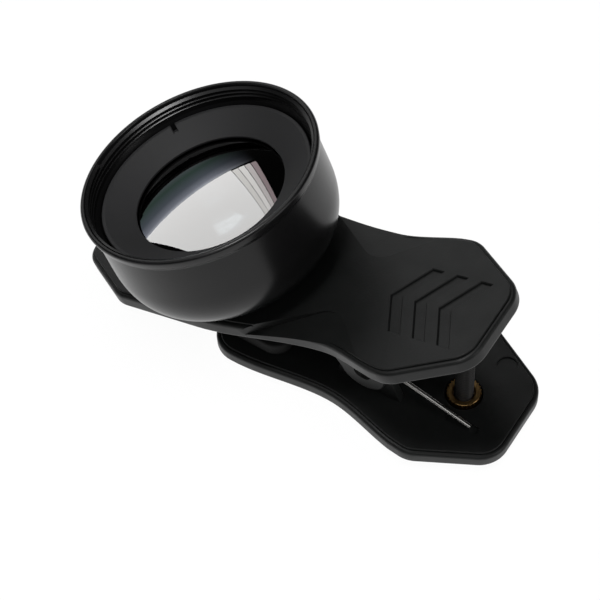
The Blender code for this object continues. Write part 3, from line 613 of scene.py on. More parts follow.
groove_y = -LEG_Y - LEG_SPLAY
groove_start = LEG_REACH - GROOVE_BACK
groove_end = LEG_REACH + GROOVE_FRONT
groove_outline = box_outline(
    groove_start, groove_end, groove_y - GROOVE_HALF, groove_y + GROOVE_HALF, 0.0, GROOVE_ROUND
)
lower_low = LOWER_FACE - PLATE_T
over = LOWER_FACE + PLATE_T
lower_ear_y = UPPER_EAR_Y - EAR_T - SIDE_GAP - EAR_T / 2.0
lower_ear_foot = LOWER_FACE - EDGE_ROUND
groove_layers = [(groove_outline, LOWER_FACE - GROOVE_DEPTH), (groove_outline, over)]
mould_mark = rod_mesh(
    "mould_mark", MARK_R, LOWER_FACE - MARK_DEPTH, LOWER_FACE + MARK_OVER, MARK_AT, SMALL_HOLE_STEPS,
    MARK_FLARE,
)
lower_tools = [
    (ear_mesh("lower_ear_near", LOWER_EAR_R, lower_ear_foot, -lower_ear_y), "UNION"),
    (ear_mesh("lower_ear_far", LOWER_EAR_R, lower_ear_foot, lower_ear_y), "UNION"),
    (pin_hole("lower_pin_hole", UPPER_EAR_Y), "DIFFERENCE"),
    (rod_mesh("insert_hole", INSERT_HOLE_R, lower_low - CLEAR, over, (SCREW_X, 0.0)), "DIFFERENCE"),
    (mould_mark, "DIFFERENCE"),
    (layered_mesh("leg_groove", groove_layers), "DIFFERENCE"),
]
lower_mesh = carved(layered_mesh("clip_lower_moulded", plate_layers(lower_outline, lower_low)), lower_tools)
add_piece("clip_lower", "moulded", lower_mesh, lower_place, clip_plastic, "lower")

# Upper half of the clip: the same moulding material. Its jaw carries the lens, its neck is hollowed on both
# sides, and three chevrons are sunk into its six-sided thumb pad. Two outer hinge ears hang from it.
UPPER_TIP = 52.9
UPPER_TIP_HALF = 7.95
UPPER_TIP_CORNER = 41.7
UPPER_JAW_HALF = 13.9
UPPER_HANDLE = (11.5, 13.9)
UPPER_HANDLE_END = (23.1, 7.0)
upper_side = waist_points((-25.6, UPPER_JAW_HALF), (-2.2, 11.6), UPPER_HANDLE)
upper_outline = plate_outline(
    [(-UPPER_TIP, UPPER_TIP_HALF, 4.0), (-UPPER_TIP_CORNER, UPPER_JAW_HALF, HANDLE_ROUND)],
    upper_side,
    [(*UPPER_HANDLE, HANDLE_ROUND), (*UPPER_HANDLE_END, HANDLE_ROUND)],
)

SCALLOP_AT = (-2.4, 4.9)
SCALLOP_JAW_X = -18.4
SCALLOP_HANDLE_X = 8.4
SCALLOP_OUTER = 14.6
SCALLOP_ROUND = 4.0
SCALLOP_FALL = math.radians(7.0)


def scallop_mesh(name, side):
    """The hollow beside the neck; its floor falls from the face at its handle side towards the jaw."""
    corners = [
        (SCALLOP_JAW_X, side * SCALLOP_OUTER, 0.0),
        (SCALLOP_AT[0], side * SCALLOP_AT[1], SCALLOP_ROUND),
        (SCALLOP_HANDLE_X, side * SCALLOP_OUTER, 0.0),
    ]
    outline = arc_corners(corners if side < 0 else corners[::-1])
    mesh = layered_mesh(name, [(outline, 0.0), (outline, PLATE_T)])
    crease_at = Matrix.Translation((SCALLOP_AT[0] * MM, side * SCALLOP_AT[1] * MM, UPPER_FACE * MM))
    crease_way = Vector((SCALLOP_HANDLE_X - SCALLOP_AT[0], side * (SCALLOP_OUTER - SCALLOP_AT[1]), 0.0))
    fall = Matrix.Rotation(-side * SCALLOP_FALL, 4, crease_way)
    mesh.transform(crease_at @ fall @ crease_at.inverted() @ Matrix.Translation((0.0, 0.0, UPPER_FACE * MM)))
    return mesh


CHEVRONS = 3
CHEVRON_X = 4.2
CHEVRON_PITCH = 4.4
CHEVRON_W = 2.1
CHEVRON_SWEEP = 3.6
CHEVRON_HALF = 6.4
CHEVRON_DEPTH = 0.4
CHEVRON_DRAFT = 0.10
CHEVRON_BREAK = 0.12
CHEVRON_LIP = -0.10


def chevron_mesh(name, x):
    """A sunk chevron with drafted walls; its arms sweep towards the handle's end."""
    far = x + CHEVRON_SWEEP
    low_arm = [(far, -CHEVRON_HALF), (far + CHEVRON_W, -CHEVRON_HALF)]
    high_arm = [(far + CHEVRON_W, CHEVRON_HALF), (far, CHEVRON_HALF)]
    outline = [Vector(point) for point in [(x, 0.0)] + low_arm + [(x + CHEVRON_W, 0.0)] + high_arm]
    layers = [
        (inset(outline, CHEVRON_DRAFT), UPPER_FACE - CHEVRON_DEPTH),
        (inset(outline, 0.4 * CHEVRON_DRAFT), UPPER_FACE - CHEVRON_BREAK),
        (inset(outline, CHEVRON_LIP), UPPER_FACE + 0.02),
        (inset(outline, CHEVRON_LIP), UPPER_FACE + CLEAR),
    ]
    return layered_mesh(name, layers)


LENS_HOLE_R = 8.8
upper_low = UPPER_FACE - PLATE_T
upper_ear_y = UPPER_EAR_Y - EAR_T / 2.0
upper_ear_foot = upper_low + EDGE_ROUND
lens_hole = rod_mesh(
    "lens_hole", LENS_HOLE_R, upper_low - CLEAR, UPPER_FACE + CLEAR, (-LENS_X, 0.0), FINE_HOLE_STEPS
)
upper_tools = [
    (scallop_mesh("scallop_near", -1.0), "DIFFERENCE"),
    (scallop_mesh("scallop_far", 1.0), "DIFFERENCE"),
    (ear_mesh("upper_ear_near", UPPER_EAR_R, upper_ear_foot, -upper_ear_y), "UNION"),
    (ear_mesh("upper_ear_far", UPPER_EAR_R, upper_ear_foot, upper_ear_y), "UNION"),
    (pin_hole("upper_pin_hole", UPPER_EAR_Y + EAR_T), "DIFFERENCE"),
    (lens_hole, "DIFFERENCE"),
]
for k in range(CHEVRONS):
    upper_tools.append((chevron_mesh(f"chevron_{k + 1}", CHEVRON_X + CHEVRON_PITCH * k), "DIFFERENCE"))
upper_mesh = carved(layered_mesh("clip_upper_moulded", plate_layers(upper_outline, upper_low)), upper_tools)
add_piece("clip_upper", "moulded", upper_mesh, upper_place, clip_plastic, "upper")

# Pads: two black rubber pads glued to the inner faces of the jaws, a ring round the lens hole above and a
# rounded plate on the tip below. Their skin is duller and coarser than the clip's.
pad_rubber = moulded_plastic("pad_rubber", (0.008, 0.008, 0.008), (0.014, 0.014, 0.014), 0.72, 0.00003, 0.3)
TURN_STEPS = 192
ON_AXIS = 0.000001


def turned_mesh(profile, closed, steps=TURN_STEPS):
    """A turned shape from (radius, height) points in mm: a ring if closed, else one that meets the axis."""
    work = bmesh.new()
    turns = [math.tau * k / steps for k in range(steps)]
    rings = []
    for radius, height in profile:
        if radius < ON_AXIS:
            rings.append([work.verts.new((0.0, 0.0, height * MM))])
            continue
        r = radius * MM
        rings.append([work.verts.new((r * math.cos(a), r * math.sin(a), height * MM)) for a in turns])
    pairs = list(zip(rings, rings[1:]))
    if closed:
        pairs.append((rings[-1], rings[0]))
    for one, two in pairs:
        for k in range(steps):
            ahead = (k + 1) % steps
            if len(one) == 1:
                work.faces.new((one[0], two[ahead], two[k]))
            elif len(two) == 1:
                work.faces.new((one[k], one[ahead], two[0]))
            else:
                work.faces.new((one[k], one[ahead], two[ahead], two[k]))
    return evenly_shaded(write_mesh(work, bpy.data.meshes.new("turned")))


def arc_profile(*corners, steps=6):
    """Profile points of a turned ring whose corners (radius, height, rounding) are rounded."""
    return [tuple(point) for point in arc_corners(corners, steps)]


UPPER_PAD_IN = 9.0
UPPER_PAD_OUT = 12.4
UPPER_PAD_T = 1.5
PAD_ROUND = 0.3
PAD_STEPS = 96
SEAT_GAP = 0.3
pad_high = upper_low - SEAT_GAP
pad_low = pad_high - UPPER_PAD_T
pad_profile = arc_profile(
    (UPPER_PAD_IN, pad_high, 0.0),
    (UPPER_PAD_IN, pad_low, PAD_ROUND),
    (UPPER_PAD_OUT, pad_low, PAD_ROUND),
    (UPPER_PAD_OUT, pad_high, 0.0),
)
pad_mesh = turned_mesh(pad_profile, True, PAD_STEPS)
jaw_hole_place = upper_place @ Matrix.Translation((-LENS_X * MM, 0.0, 0.0))
add_piece("upper_pad", "ring", pad_mesh, jaw_hole_place, pad_rubber, "upper")

LOWER_PAD_START = -LOWER_TIP + 0.8
LOWER_PAD_END = LOWER_PAD_START + 12.0
LOWER_PAD_HALF = 9.9
LOWER_PAD_CORNER = 3.0
LOWER_PAD_EDGE = 0.4
lower_pad_top = (pad_low - SEAT_GAP + LOWER_PAD_START * math.sin(JAW_ANGLE)) / math.cos(JAW_ANGLE)
lower_pad_outline = box_outline(
    LOWER_PAD_START, LOWER_PAD_END, -LOWER_PAD_HALF, LOWER_PAD_HALF, LOWER_PAD_CORNER, LOWER_PAD_CORNER, 8
)
lower_pad_layers = rounded_layers(
    lower_pad_outline, LOWER_FACE + SEAT_GAP, lower_pad_top, PAD_ROUND, LOWER_PAD_EDGE
)
lower_pad_mesh = evenly_shaded(layered_mesh("lower_pad_plate", lower_pad_layers))
add_piece("lower_pad", "plate", lower_pad_mesh, lower_place, pad_rubber, "lower")

# Hinge pin and torsion spring: a turned steel pin through the four ears, and a spring of drawn steel wire
# wound round it. Its near leg lies in the lower handle's groove, its far leg bears under the upper handle.
RING_SPACING = 0.00012
STAIN_SCALE = 160.0

# Fine rings left by the lathe, in a frame whose z axis is the turning axis, and a stain that varies.
turning_group, given, result = effect_group(
    "turning_marks", ["Height", "Roughness", "Stain"],
    Ring_Spacing=RING_SPACING, Base_Roughness=0.3, Roughness_Spread=0.1,
)
parts = new_node(turning_group, "ShaderNodeSeparateXYZ", Vector=given["Vector"]).outputs
length = turning_group.nodes.new("ShaderNodeVectorMath")
length.operation = "LENGTH"
feed(length.inputs[0], new_node(turning_group, "ShaderNodeCombineXYZ", X=parts["X"], Y=parts["Y"]))
path = math_node(turning_group, "ADD", length.outputs["Value"], parts["Z"])
rings = turning_group.nodes.new("ShaderNodeTexNoise")
rings.noise_dimensions = "1D"
ring_count = math_node(turning_group, "DIVIDE", path, given["Ring Spacing"])
set_inputs(rings, W=ring_count, Scale=1.0, Detail=3.0, Roughness=0.7)
stain = noise(turning_group, given["Vector"], STAIN_SCALE, 4.0)
uneven = math_node(turning_group, "MULTIPLY", math_node(turning_group, "ADD", rings, stain), 0.5)
rough = math_node(turning_group, "MULTIPLY_ADD", uneven, given["Roughness Spread"], given["Base Roughness"])
set_inputs(result, Height=rings, Roughness=rough, Stain=stain)


def turned_metal(
    name, place, dark, light, metallic, roughness, mark_height, spacing=RING_SPACING, spread=0.12, shine=0.5
):
    """Turned metal with lathe rings about its own axis and a slight stain."""
    made, shader = named_material(name)
    tree = made.node_tree
    back = place.inverted()
    spot = new_node(tree, "ShaderNodeMapping", Vector=object_spot(tree))
    set_inputs(spot, Location=back.to_translation(), Rotation=back.to_euler())
    lowest = roughness - spread / 2.0
    marks = place_group(
        tree, turning_group, Vector=spot, Ring_Spacing=spacing, Base_Roughness=lowest, Roughness_Spread=spread
    )
    tone = two_tones(tree, marks["Stain"], dark, light)
    set_inputs(shader, Base_Color=tone, Roughness=marks["Roughness"])
    set_inputs(shader, Metallic=metallic, Specular_IOR_Level=shine)
    bumped(shader, marks["Height"], mark_height)
    return made


pin_steel = turned_metal(
    "pin_steel", lower_place @ across_place, (0.52, 0.51, 0.49), (0.66, 0.65, 0.62), 1.0, 0.26, 0.000002
)
PIN_HALF = 7.7
pin_profile = [
    (0.0, PIN_HALF),
    (PIN_R - 0.45, PIN_HALF - 0.02),
    (PIN_R - 0.25, PIN_HALF - 0.08),
    (PIN_R - 0.08, PIN_HALF - 0.20),
    (PIN_R, PIN_HALF - 0.40),
]
pin_profile += [(r, -z) for r, z in pin_profile[::-1]]
pin_mesh = turned_mesh(pin_profile, False, SMALL_HOLE_STEPS)
pin_mesh.transform(across_place)
add_piece("pivot_pin", "turned", pin_mesh, lower_place, pin_steel, "lower")


def grown_tree(name, *numbers, **inputs):
    """A geometry tree with number inputs and others of a given kind; gives it, its inputs, and their ids."""
    tree = bpy.data.node_groups.new(name, "GeometryNodeTree")
    new_socket(tree, "Geometry", "Geometry")
    new_socket(tree, "Geometry", "Geometry", "OUTPUT")
    inputs = dict.fromkeys(numbers, "Float") | inputs | {"Material": "Material"}
    ids = {socket: new_socket(tree, socket, kind).identifier for socket, kind in inputs.items()}
    return tree, tree.nodes.new("NodeGroupInput").outputs, ids


def finish_tree(tree, given, *shapes):
    """Ends a tree: its shapes as real geometry, the material, and the output."""
    both = tree.nodes.new("GeometryNodeJoinGeometry")
    for shape in shapes:
        set_inputs(both, Geometry=shape)
    real = new_node(tree, "GeometryNodeRealizeInstances", Geometry=both)
    paint = new_node(tree, "GeometryNodeSetMaterial", Geometry=real, Material=given["Material"])
    new_node(tree, "NodeGroupOutput", Geometry=paint)


def grown_mesh(data, tree, ids, **values):
    """The plain mesh that a geometry tree makes from a mesh or curve."""
    holder = bpy.data.objects.new("grown", data)
    grow = holder.modifiers.new("grow", "NODES")
    grow.node_group = tree
    for socket, value in values.items():
        grow[ids[socket]] = value
    return evaluated_mesh(holder)


wire_tree, given, wire_ids = grown_tree("drawn_wire", "Wire_Radius", Sides="Int")
wire_round = new_node(
    wire_tree, "GeometryNodeCurvePrimitiveCircle", Radius=given["Wire Radius"], Resolution=given["Sides"]
)
wire_sweep = new_node(
    wire_tree, "GeometryNodeCurveToMesh", Curve=given["Geometry"], Profile_Curve=wire_round, Fill_Caps=True
)
finish_tree(wire_tree, given, wire_sweep)

WIRE_SIDES = 20
COIL_R = 2.0
COIL_TURNS = 9
COIL_STEPS = 28
LEG_STEPS = 6


def tangent_angle(x, z, way):
    """Angle on the coil at which a leg to (x, z) leaves it: way is 1 for the top, -1 for below."""
    return math.atan2(z, x) + way * math.acos(COIL_R / math.hypot(x, z))


def straight(start, end, steps):
    """Points from start up to, but not with, end."""
    return [start.lerp(end, k / steps) for k in range(steps)]


leg_rest = SEAT_GAP + WIRE_R
low_tip = Vector((LEG_REACH, LOWER_FACE - GROOVE_DEPTH + leg_rest))
high_tip = Matrix.Rotation(JAW_ANGLE, 2) @ Vector((LEG_REACH, UPPER_FACE - PLATE_T - leg_rest))
coil_start = tangent_angle(low_tip.x, low_tip.y, -1.0)
coil_sweep = tangent_angle(high_tip.x, high_tip.y, 1.0) - coil_start - math.tau * (COIL_TURNS + 1)
coil = []
for k in range(COIL_STEPS * COIL_TURNS + 1):
    t = k / (COIL_STEPS * COIL_TURNS)
    turn = coil_start + coil_sweep * t
    coil.append(Vector((COIL_R * math.cos(turn), LEG_Y * (2.0 * t - 1.0), COIL_R * math.sin(turn))))
leg_end_y = LEG_Y + LEG_SPLAY
low_end = Vector((low_tip.x, -leg_end_y, low_tip.y))
high_end = Vector((high_tip.x, leg_end_y, high_tip.y))
spring_points = straight(low_end, coil[0], LEG_STEPS) + coil + straight(high_end, coil[-1], LEG_STEPS)[::-1]

spring_curve = bpy.data.curves.new("spring_path", "CURVE")
spring_curve.dimensions = "3D"
spring_path = spring_curve.splines.new("POLY")
spring_path.points.add(len(spring_points) - 1)
for target, point in zip(spring_path.points, spring_points):
    target.co = (*(point * MM), 1.0)

DRAWN_STRETCH = (160.0, 5200.0, 5200.0)
STEEL_STAIN_SCALE = 420.0
WIRE_SHARP = 50.0
spring_steel, shader = named_material("spring_steel")
tree = spring_steel.node_tree
spot = object_spot(tree)
stretched = new_node(tree, "ShaderNodeMapping", Vector=spot, Scale=DRAWN_STRETCH)
draw_lines = noise(tree, stretched, 1.0, 2.0)
stain = noise(tree, spot, STEEL_STAIN_SCALE, 3.0)
tone = two_tones(tree, stain, (0.30, 0.295, 0.285), (0.52, 0.51, 0.49))
rough = new_node(tree, "ShaderNodeMapRange", Value=draw_lines, To_Min=0.16, To_Max=0.38)
set_inputs(shader, Base_Color=tone, Roughness=rough, Metallic=1.0)
bumped(shader, draw_lines, 0.000003)

spring_mesh = grown_mesh(
    spring_curve, wire_tree, wire_ids, Wire_Radius=WIRE_R * MM, Sides=WIRE_SIDES, Material=spring_steel
)
spring_mesh = evenly_shaded(spring_mesh, WIRE_SHARP)
spring = add_piece("torsion_spring", "wound", spring_mesh, lower_place, spring_steel, "")
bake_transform(spring)

# Insert: turned from brass and knurled, pressed into the lower handle while warm. Its flange stands a little
# proud of the handle, and the screw runs in its thread.
screw_place = lower_place @ Matrix.Translation((SCREW_X * MM, 0.0, 0.0))
insert_brass = turned_metal(
    "insert_brass", screw_place, (0.46, 0.27, 0.10), (0.66, 0.42, 0.17), 1.0, 0.30, 0.000004, 0.00010
)
SCREW_R = 1.5
INSERT_PROUD = 0.5
INSERT_KNURLS = 28
INSERT_STEPS = 96
KNURL_DEPTH = 0.26
KNURL_TAPER = 0.75
KNURL_FOOT = 0.3
KNURL_SET_BACK = 0.03
insert_high = LOWER_FACE + INSERT_PROUD
insert_low = LOWER_FACE - PLATE_T + SEAT_GAP
bore = SCREW_R + 0.1
core = INSERT_R - KNURL_DEPTH
insert_profile = arc_profile(
    (bore, insert_high - 0.30, 0.0),
    (bore + 0.26, insert_high, 0.06),
    (core, insert_high, 0.10),
    (core, insert_low, 0.20),
    (bore, insert_low, 0.0),
)
insert_core = turned_mesh(insert_profile, True, INSERT_STEPS)

knurl_tree, given, knurl_ids = grown_tree("straight_knurl", "Radius", "Low", "High", "Tooth_Width", Teeth="Int")
knurl_ring = new_node(
    knurl_tree, "GeometryNodeCurvePrimitiveCircle", Radius=given["Radius"], Resolution=given["Teeth"]
)
knurl_tooth = new_node(
    knurl_tree, "GeometryNodeMeshCone", Vertices=4, Radius_Bottom=given["Tooth Width"],
    Radius_Top=math_node(knurl_tree, "MULTIPLY", given["Tooth Width"], KNURL_TAPER),
    Depth=math_node(knurl_tree, "SUBTRACT", given["High"], given["Low"]),
)
knurl_spot = knurl_tree.nodes.new("GeometryNodeInputPosition")
knurl_turn = new_node(knurl_tree, "FunctionNodeAlignRotationToVector", Vector=knurl_spot)
knurl_turn.axis = "X"
knurl_rows = new_node(
    knurl_tree, "GeometryNodeInstanceOnPoints", Points=knurl_ring, Instance=knurl_tooth, Rotation=knurl_turn
)
knurl_up = new_node(knurl_tree, "ShaderNodeCombineXYZ", Z=given["Low"])
knurl_lift = new_node(knurl_tree, "GeometryNodeTransform", Geometry=knurl_rows, Translation=knurl_up)
finish_tree(knurl_tree, given, given["Geometry"], knurl_lift)
insert_mesh = grown_mesh(
    insert_core, knurl_tree, knurl_ids,
    Radius=core * MM, Low=(insert_low + KNURL_FOOT) * MM, High=(insert_high - KNURL_SET_BACK) * MM,
    Teeth=INSERT_KNURLS, Tooth_Width=KNURL_DEPTH * MM, Material=insert_brass,
)
add_piece("thread_insert", "knurled", insert_mesh, screw_place, insert_brass, "lower")

# Clamp screw: a blackened steel screw with a fine rolled thread and a chamfered tip. It runs up through the
# insert and bears under the upper handle.
screw_black = turned_metal(
    "screw_black", screw_place, (0.010, 0.010, 0.010), (0.022, 0.021, 0.020), 0.3, 0.40, 0.000003, 0.00016
)
SCREW_PITCH = 0.5
SCREW_ROOT = 1.34
SCREW_TIP = LOWER_FACE + 12.3
SCREW_STEPS = 64
SCREW_TURN_STEPS = 28
SCREW_PLAIN_FOOT = 0.2
SCREW_PLAIN_TIP = 0.45
KNOB_HIGH = LOWER_FACE - PLATE_T - SEAT_GAP
tip_x = EDGE_ROUND - UPPER_TIP
tip_z = UPPER_FACE - PLATE_T + EDGE_ROUND
KNOB_LOW = tip_x * math.sin(JAW_ANGLE) + tip_z * math.cos(JAW_ANGLE) - EDGE_ROUND
SCREW_FOOT = KNOB_LOW + 0.4
screw_profile = [(0.0, SCREW_TIP), (SCREW_ROOT - 0.28, SCREW_TIP), (SCREW_ROOT - 0.2, SCREW_TIP - 0.03)]
screw_profile += [(SCREW_ROOT, SCREW_TIP - 0.25), (SCREW_ROOT, SCREW_FOOT), (0.0, SCREW_FOOT)]
screw_core = turned_mesh(screw_profile, False, SCREW_STEPS)

# A ridge's section as shares of its depth, from root to crest, and of its pitch.
RIDGE_CORNERS = [(0.5, -0.43), (0.5, 0.43), (-0.5, 0.07), (-0.5, -0.07)]
thread_tree, given, thread_ids = grown_tree(
    "thread_ridge", "Root_Radius", "Depth", "Pitch", "Turns", "Start", Steps="Int"
)
thread_math = partial(math_node, thread_tree)
thread_shape = thread_tree.nodes.new("GeometryNodeCurvePrimitiveQuadrilateral")
thread_shape.mode = "POINTS"
for k, (across, along) in enumerate(RIDGE_CORNERS):
    deep = thread_math("MULTIPLY", given["Depth"], across)
    tall = thread_math("MULTIPLY", given["Pitch"], along)
    corner = new_node(thread_tree, "ShaderNodeCombineXYZ", X=deep, Y=tall)
    feed(thread_shape.inputs[f"Point {k + 1}"], corner)
thread_middle = thread_math("ADD", given["Root Radius"], thread_math("MULTIPLY", given["Depth"], 0.5))
thread_line = new_node(
    thread_tree, "GeometryNodeCurveSpiral", Resolution=given["Steps"], Rotations=given["Turns"],
    Start_Radius=thread_middle, End_Radius=thread_middle,
    Height=thread_math("MULTIPLY", given["Pitch"], given["Turns"]),
)
thread_stand = new_node(thread_tree, "GeometryNodeSetCurveNormal", Curve=thread_line)
thread_stand.mode = "Z_UP"
thread_sweep = new_node(
    thread_tree, "GeometryNodeCurveToMesh", Curve=thread_stand, Profile_Curve=thread_shape, Fill_Caps=True
)
thread_up = new_node(thread_tree, "ShaderNodeCombineXYZ", Z=given["Start"])
thread_lift = new_node(thread_tree, "GeometryNodeTransform", Geometry=thread_sweep, Translation=thread_up)
finish_tree(thread_tree, given, given["Geometry"], thread_lift)


def threaded_mesh(core_mesh, made, root, depth, pitch, low, high, steps):
    """A turned piece with a thread's ridge on its root radius; a negative depth points inwards."""
    ridge = grown_mesh(
        core_mesh, thread_tree, thread_ids, Root_Radius=root * MM, Depth=depth * MM, Pitch=pitch * MM,
        Turns=(high - low) / pitch, Start=low * MM, Steps=steps, Material=made,
    )
    work = bmesh.new()
    work.from_mesh(ridge)
    return evenly_shaded(write_mesh(work, ridge))


screw_mesh = threaded_mesh(
    screw_core, screw_black, SCREW_ROOT, SCREW_R - SCREW_ROOT, SCREW_PITCH, KNOB_HIGH + SCREW_PLAIN_FOOT,
    SCREW_TIP - SCREW_PLAIN_TIP, SCREW_TURN_STEPS,
)
add_piece("clamp_screw", "rolled", screw_mesh, screw_place, screw_black, "screw")

# Knob: a low moulded disc on the screw's foot, with fourteen finger flutes. The clip lies on it.
knob_plastic = moulded_plastic("knob_plastic", (0.008, 0.008, 0.0085), (0.012, 0.012, 0.0125), 0.42, 0.00002)
KNOB_R = 5.5
KNOB_ROUND = 0.3
KNOB_FLUTES = 14
FLUTE_STEPS = 16
FLUTE_DEPTH = 0.5
FLUTE_INNER = 4.3
FLUTE_POWER = 1.2
FLUTE_SHARP = 40.0
KNOB_DISH = 0.15
dish_z = KNOB_LOW + KNOB_DISH
knob_profile = arc_profile(
    (bore, dish_z, 0.0),
    (2.6, dish_z, 0.2),
    (3.1, KNOB_LOW, 0.2),
    (3.9, KNOB_LOW, 0.0),
    (4.4, KNOB_LOW, 0.0),
    (KNOB_R, KNOB_LOW, KNOB_ROUND),
    (KNOB_R, KNOB_HIGH, KNOB_ROUND),
    (4.4, KNOB_HIGH, 0.0),
    (3.9, KNOB_HIGH, 0.0),
    (bore, KNOB_HIGH, 0.0),
)
flute_tree, given, flute_ids = grown_tree("finger_flutes", "Flutes", "Depth", "Inner_Radius", "Outer_Radius")
flute_math = partial(math_node, flute_tree)
flute_spot = flute_tree.nodes.new("GeometryNodeInputPosition")
flute_parts = new_node(flute_tree, "ShaderNodeSeparateXYZ", Vector=flute_spot).outputs
flute_x = flute_parts["X"]
flute_y = flute_parts["Y"]
flute_turn = flute_math("MULTIPLY", flute_math("ARCTAN2", flute_y, flute_x), given["Flutes"])
flute_hollow = flute_math("POWER", flute_math("MAXIMUM", flute_math("COSINE", flute_turn), 0.0), FLUTE_POWER)
flute_squares = [flute_math("MULTIPLY", side, side) for side in (flute_x, flute_y)]
flute_r = flute_math("SQRT", flute_math("ADD", *flute_squares))
flute_band = flute_math("SUBTRACT", given["Outer Radius"], given["Inner Radius"])
flute_out = flute_math("SUBTRACT", flute_r, given["Inner Radius"])
flute_share = flute_math("MAXIMUM", flute_math("DIVIDE", flute_out, flute_band), 0.0)
flute_fall = flute_math("MULTIPLY", flute_math("MULTIPLY", flute_share, flute_hollow), given["Depth"])
flute_scale = flute_math("DIVIDE", flute_fall, flute_math("MULTIPLY", flute_r, -1.0))
flute_in_x, flute_in_y = (flute_math("MULTIPLY", side, flute_scale) for side in (flute_x, flute_y))
flute_move = new_node(flute_tree, "ShaderNodeCombineXYZ", X=flute_in_x, Y=flute_in_y)
flute_push = new_node(flute_tree, "GeometryNodeSetPosition", Geometry=given["Geometry"], Offset=flute_move)
finish_tree(flute_tree, given, flute_push)
knob_core = turned_mesh(knob_profile, True, KNOB_FLUTES * FLUTE_STEPS)
knob_mesh = grown_mesh(
    knob_core, flute_tree, flute_ids, Flutes=float(KNOB_FLUTES), Depth=FLUTE_DEPTH * MM,
    Inner_Radius=FLUTE_INNER * MM, Outer_Radius=KNOB_R * MM, Material=knob_plastic,
)
knob_mesh = evenly_shaded(knob_mesh, FLUTE_SHARP)
add_piece("screw_knob", "fluted", knob_mesh, screw_place, knob_plastic, "knob")

# Optics cell, spacer and retainer: turned from aluminium and anodised dull black inside the lens. The cell's
# neck carries the thread that holds the lens in the clip; its two pockets take the middle and front glass.
cell_black = turned_metal(
    "cell_black", lens_place, (0.004, 0.004, 0.004), (0.008, 0.008, 0.008), 0.0, 0.50, 0.000004
)
NECK_R = 8.5
NECK_LOW = -PLATE_T
NECK_PITCH = 0.5
FRONT_GLASS_R = 12.5
FRONT_TOP = 13.1
FRONT_SEAT = 9.8
MIDDLE_GLASS_R = 11.3
MIDDLE_TOP = 6.7
MIDDLE_SEAT = 3.8
REAR_GLASS_R = 7.0
REAR_TOP = 1.1
CELL_WALL = 0.9
CELL_LOW = 1.9
GLASS_LEDGE = 1.1
NECK_RIDGE = 0.22
NECK_STEPS = 128
NECK_PLAIN_LOW = 0.5
NECK_PLAIN_HIGH = 0.4
front_bore = FRONT_GLASS_R + SEAT_GAP
middle_bore = MIDDLE_GLASS_R + SEAT_GAP
middle_side = middle_bore + CELL_WALL
rear_bore = REAR_GLASS_R + SEAT_GAP
rear_seat = REAR_TOP + SEAT_GAP
rear_ledge = REAR_GLASS_R - GLASS_LEDGE
cell_profile = [
    (front_bore, FRONT_TOP),
    (front_bore + CELL_WALL, FRONT_TOP),
    (front_bore + CELL_WALL, FRONT_SEAT - 1.6),
    (middle_side, FRONT_SEAT - 2.5),
    (middle_side, CELL_LOW + 1.9),
    (middle_side - 1.9, CELL_LOW),
    (NECK_R, CELL_LOW),
    (NECK_R, NECK_LOW + 0.3),
    (NECK_R - 0.3, NECK_LOW),
    (rear_bore, NECK_LOW),
    (rear_bore, rear_seat),
    (rear_ledge, rear_seat),
    (rear_ledge, rear_seat + 0.6),
    (MIDDLE_GLASS_R - GLASS_LEDGE, MIDDLE_SEAT),
    (middle_bore, MIDDLE_SEAT),
    (middle_bore, FRONT_SEAT),
    (front_bore, FRONT_SEAT),
]
cell_core = turned_mesh(cell_profile, True)
cell_mesh = threaded_mesh(
    cell_core, cell_black, NECK_R, NECK_RIDGE, NECK_PITCH, NECK_LOW + NECK_PLAIN_LOW,
    CELL_LOW - NECK_PLAIN_HIGH, NECK_STEPS,
)
add_piece("optics_cell", "turned", cell_mesh, lens_place, cell_black, "upper")


def dome_height(radius, rise, x):
    """How far a dome stands off its edge plane at a distance x from the axis."""
    ball = (radius**2 + rise**2) / (2.0 * rise)
    return math.sqrt(ball**2 - x**2) - (ball - rise)


FRONT_DOME = 1.3
FRONT_BACK_DOME = 2.0
MIDDLE_DOME = 1.2
REAR_DOME = 0.6
spacer_in = MIDDLE_GLASS_R - 1.0
spacer_high = FRONT_SEAT - dome_height(FRONT_GLASS_R, FRONT_BACK_DOME, spacer_in)
spacer_low = MIDDLE_TOP + dome_height(MIDDLE_GLASS_R, MIDDLE_DOME, spacer_in) + SEAT_GAP
spacer_round = 0.1
spacer_profile = arc_profile(
    (spacer_in, spacer_high, spacer_round),
    (spacer_in, spacer_low, spacer_round),
    (MIDDLE_GLASS_R, spacer_low, spacer_round),
    (MIDDLE_GLASS_R, spacer_high, spacer_round),
    steps=4,
)
spacer_mesh = turned_mesh(spacer_profile, True)
add_piece("spacer_ring", "turned", spacer_mesh, lens_place, cell_black, "upper")

RETAINER_IN = 6.1
RETAINER_LOW = NECK_LOW + 0.1
RETAINER_HIGH = RETAINER_LOW + 1.0
retainer_profile = [
    (RETAINER_IN, RETAINER_HIGH),
    (RETAINER_IN, RETAINER_LOW + 0.25),
    (RETAINER_IN + 0.25, RETAINER_LOW),
    (REAR_GLASS_R - 0.08, RETAINER_LOW),
    (REAR_GLASS_R, RETAINER_LOW + 0.08),
    (REAR_GLASS_R, RETAINER_HIGH),
]
SLOT_REACH = 8.0
SLOT_HALF = 0.5
SLOT_DEPTH = 0.45
slot_outline = box_outline(-SLOT_REACH, SLOT_REACH, -SLOT_HALF, SLOT_HALF, 0.0, 0.0)
slot_layers = [(slot_outline, RETAINER_LOW - SLOT_HALF), (slot_outline, RETAINER_LOW + SLOT_DEPTH)]
slot_mesh = layered_mesh("retainer_slots", slot_layers)
retainer_mesh = carved(turned_mesh(retainer_profile, True), [(slot_mesh, "DIFFERENCE")])
add_piece("rear_retainer", "turned", retainer_mesh, lens_place, cell_black, "upper")
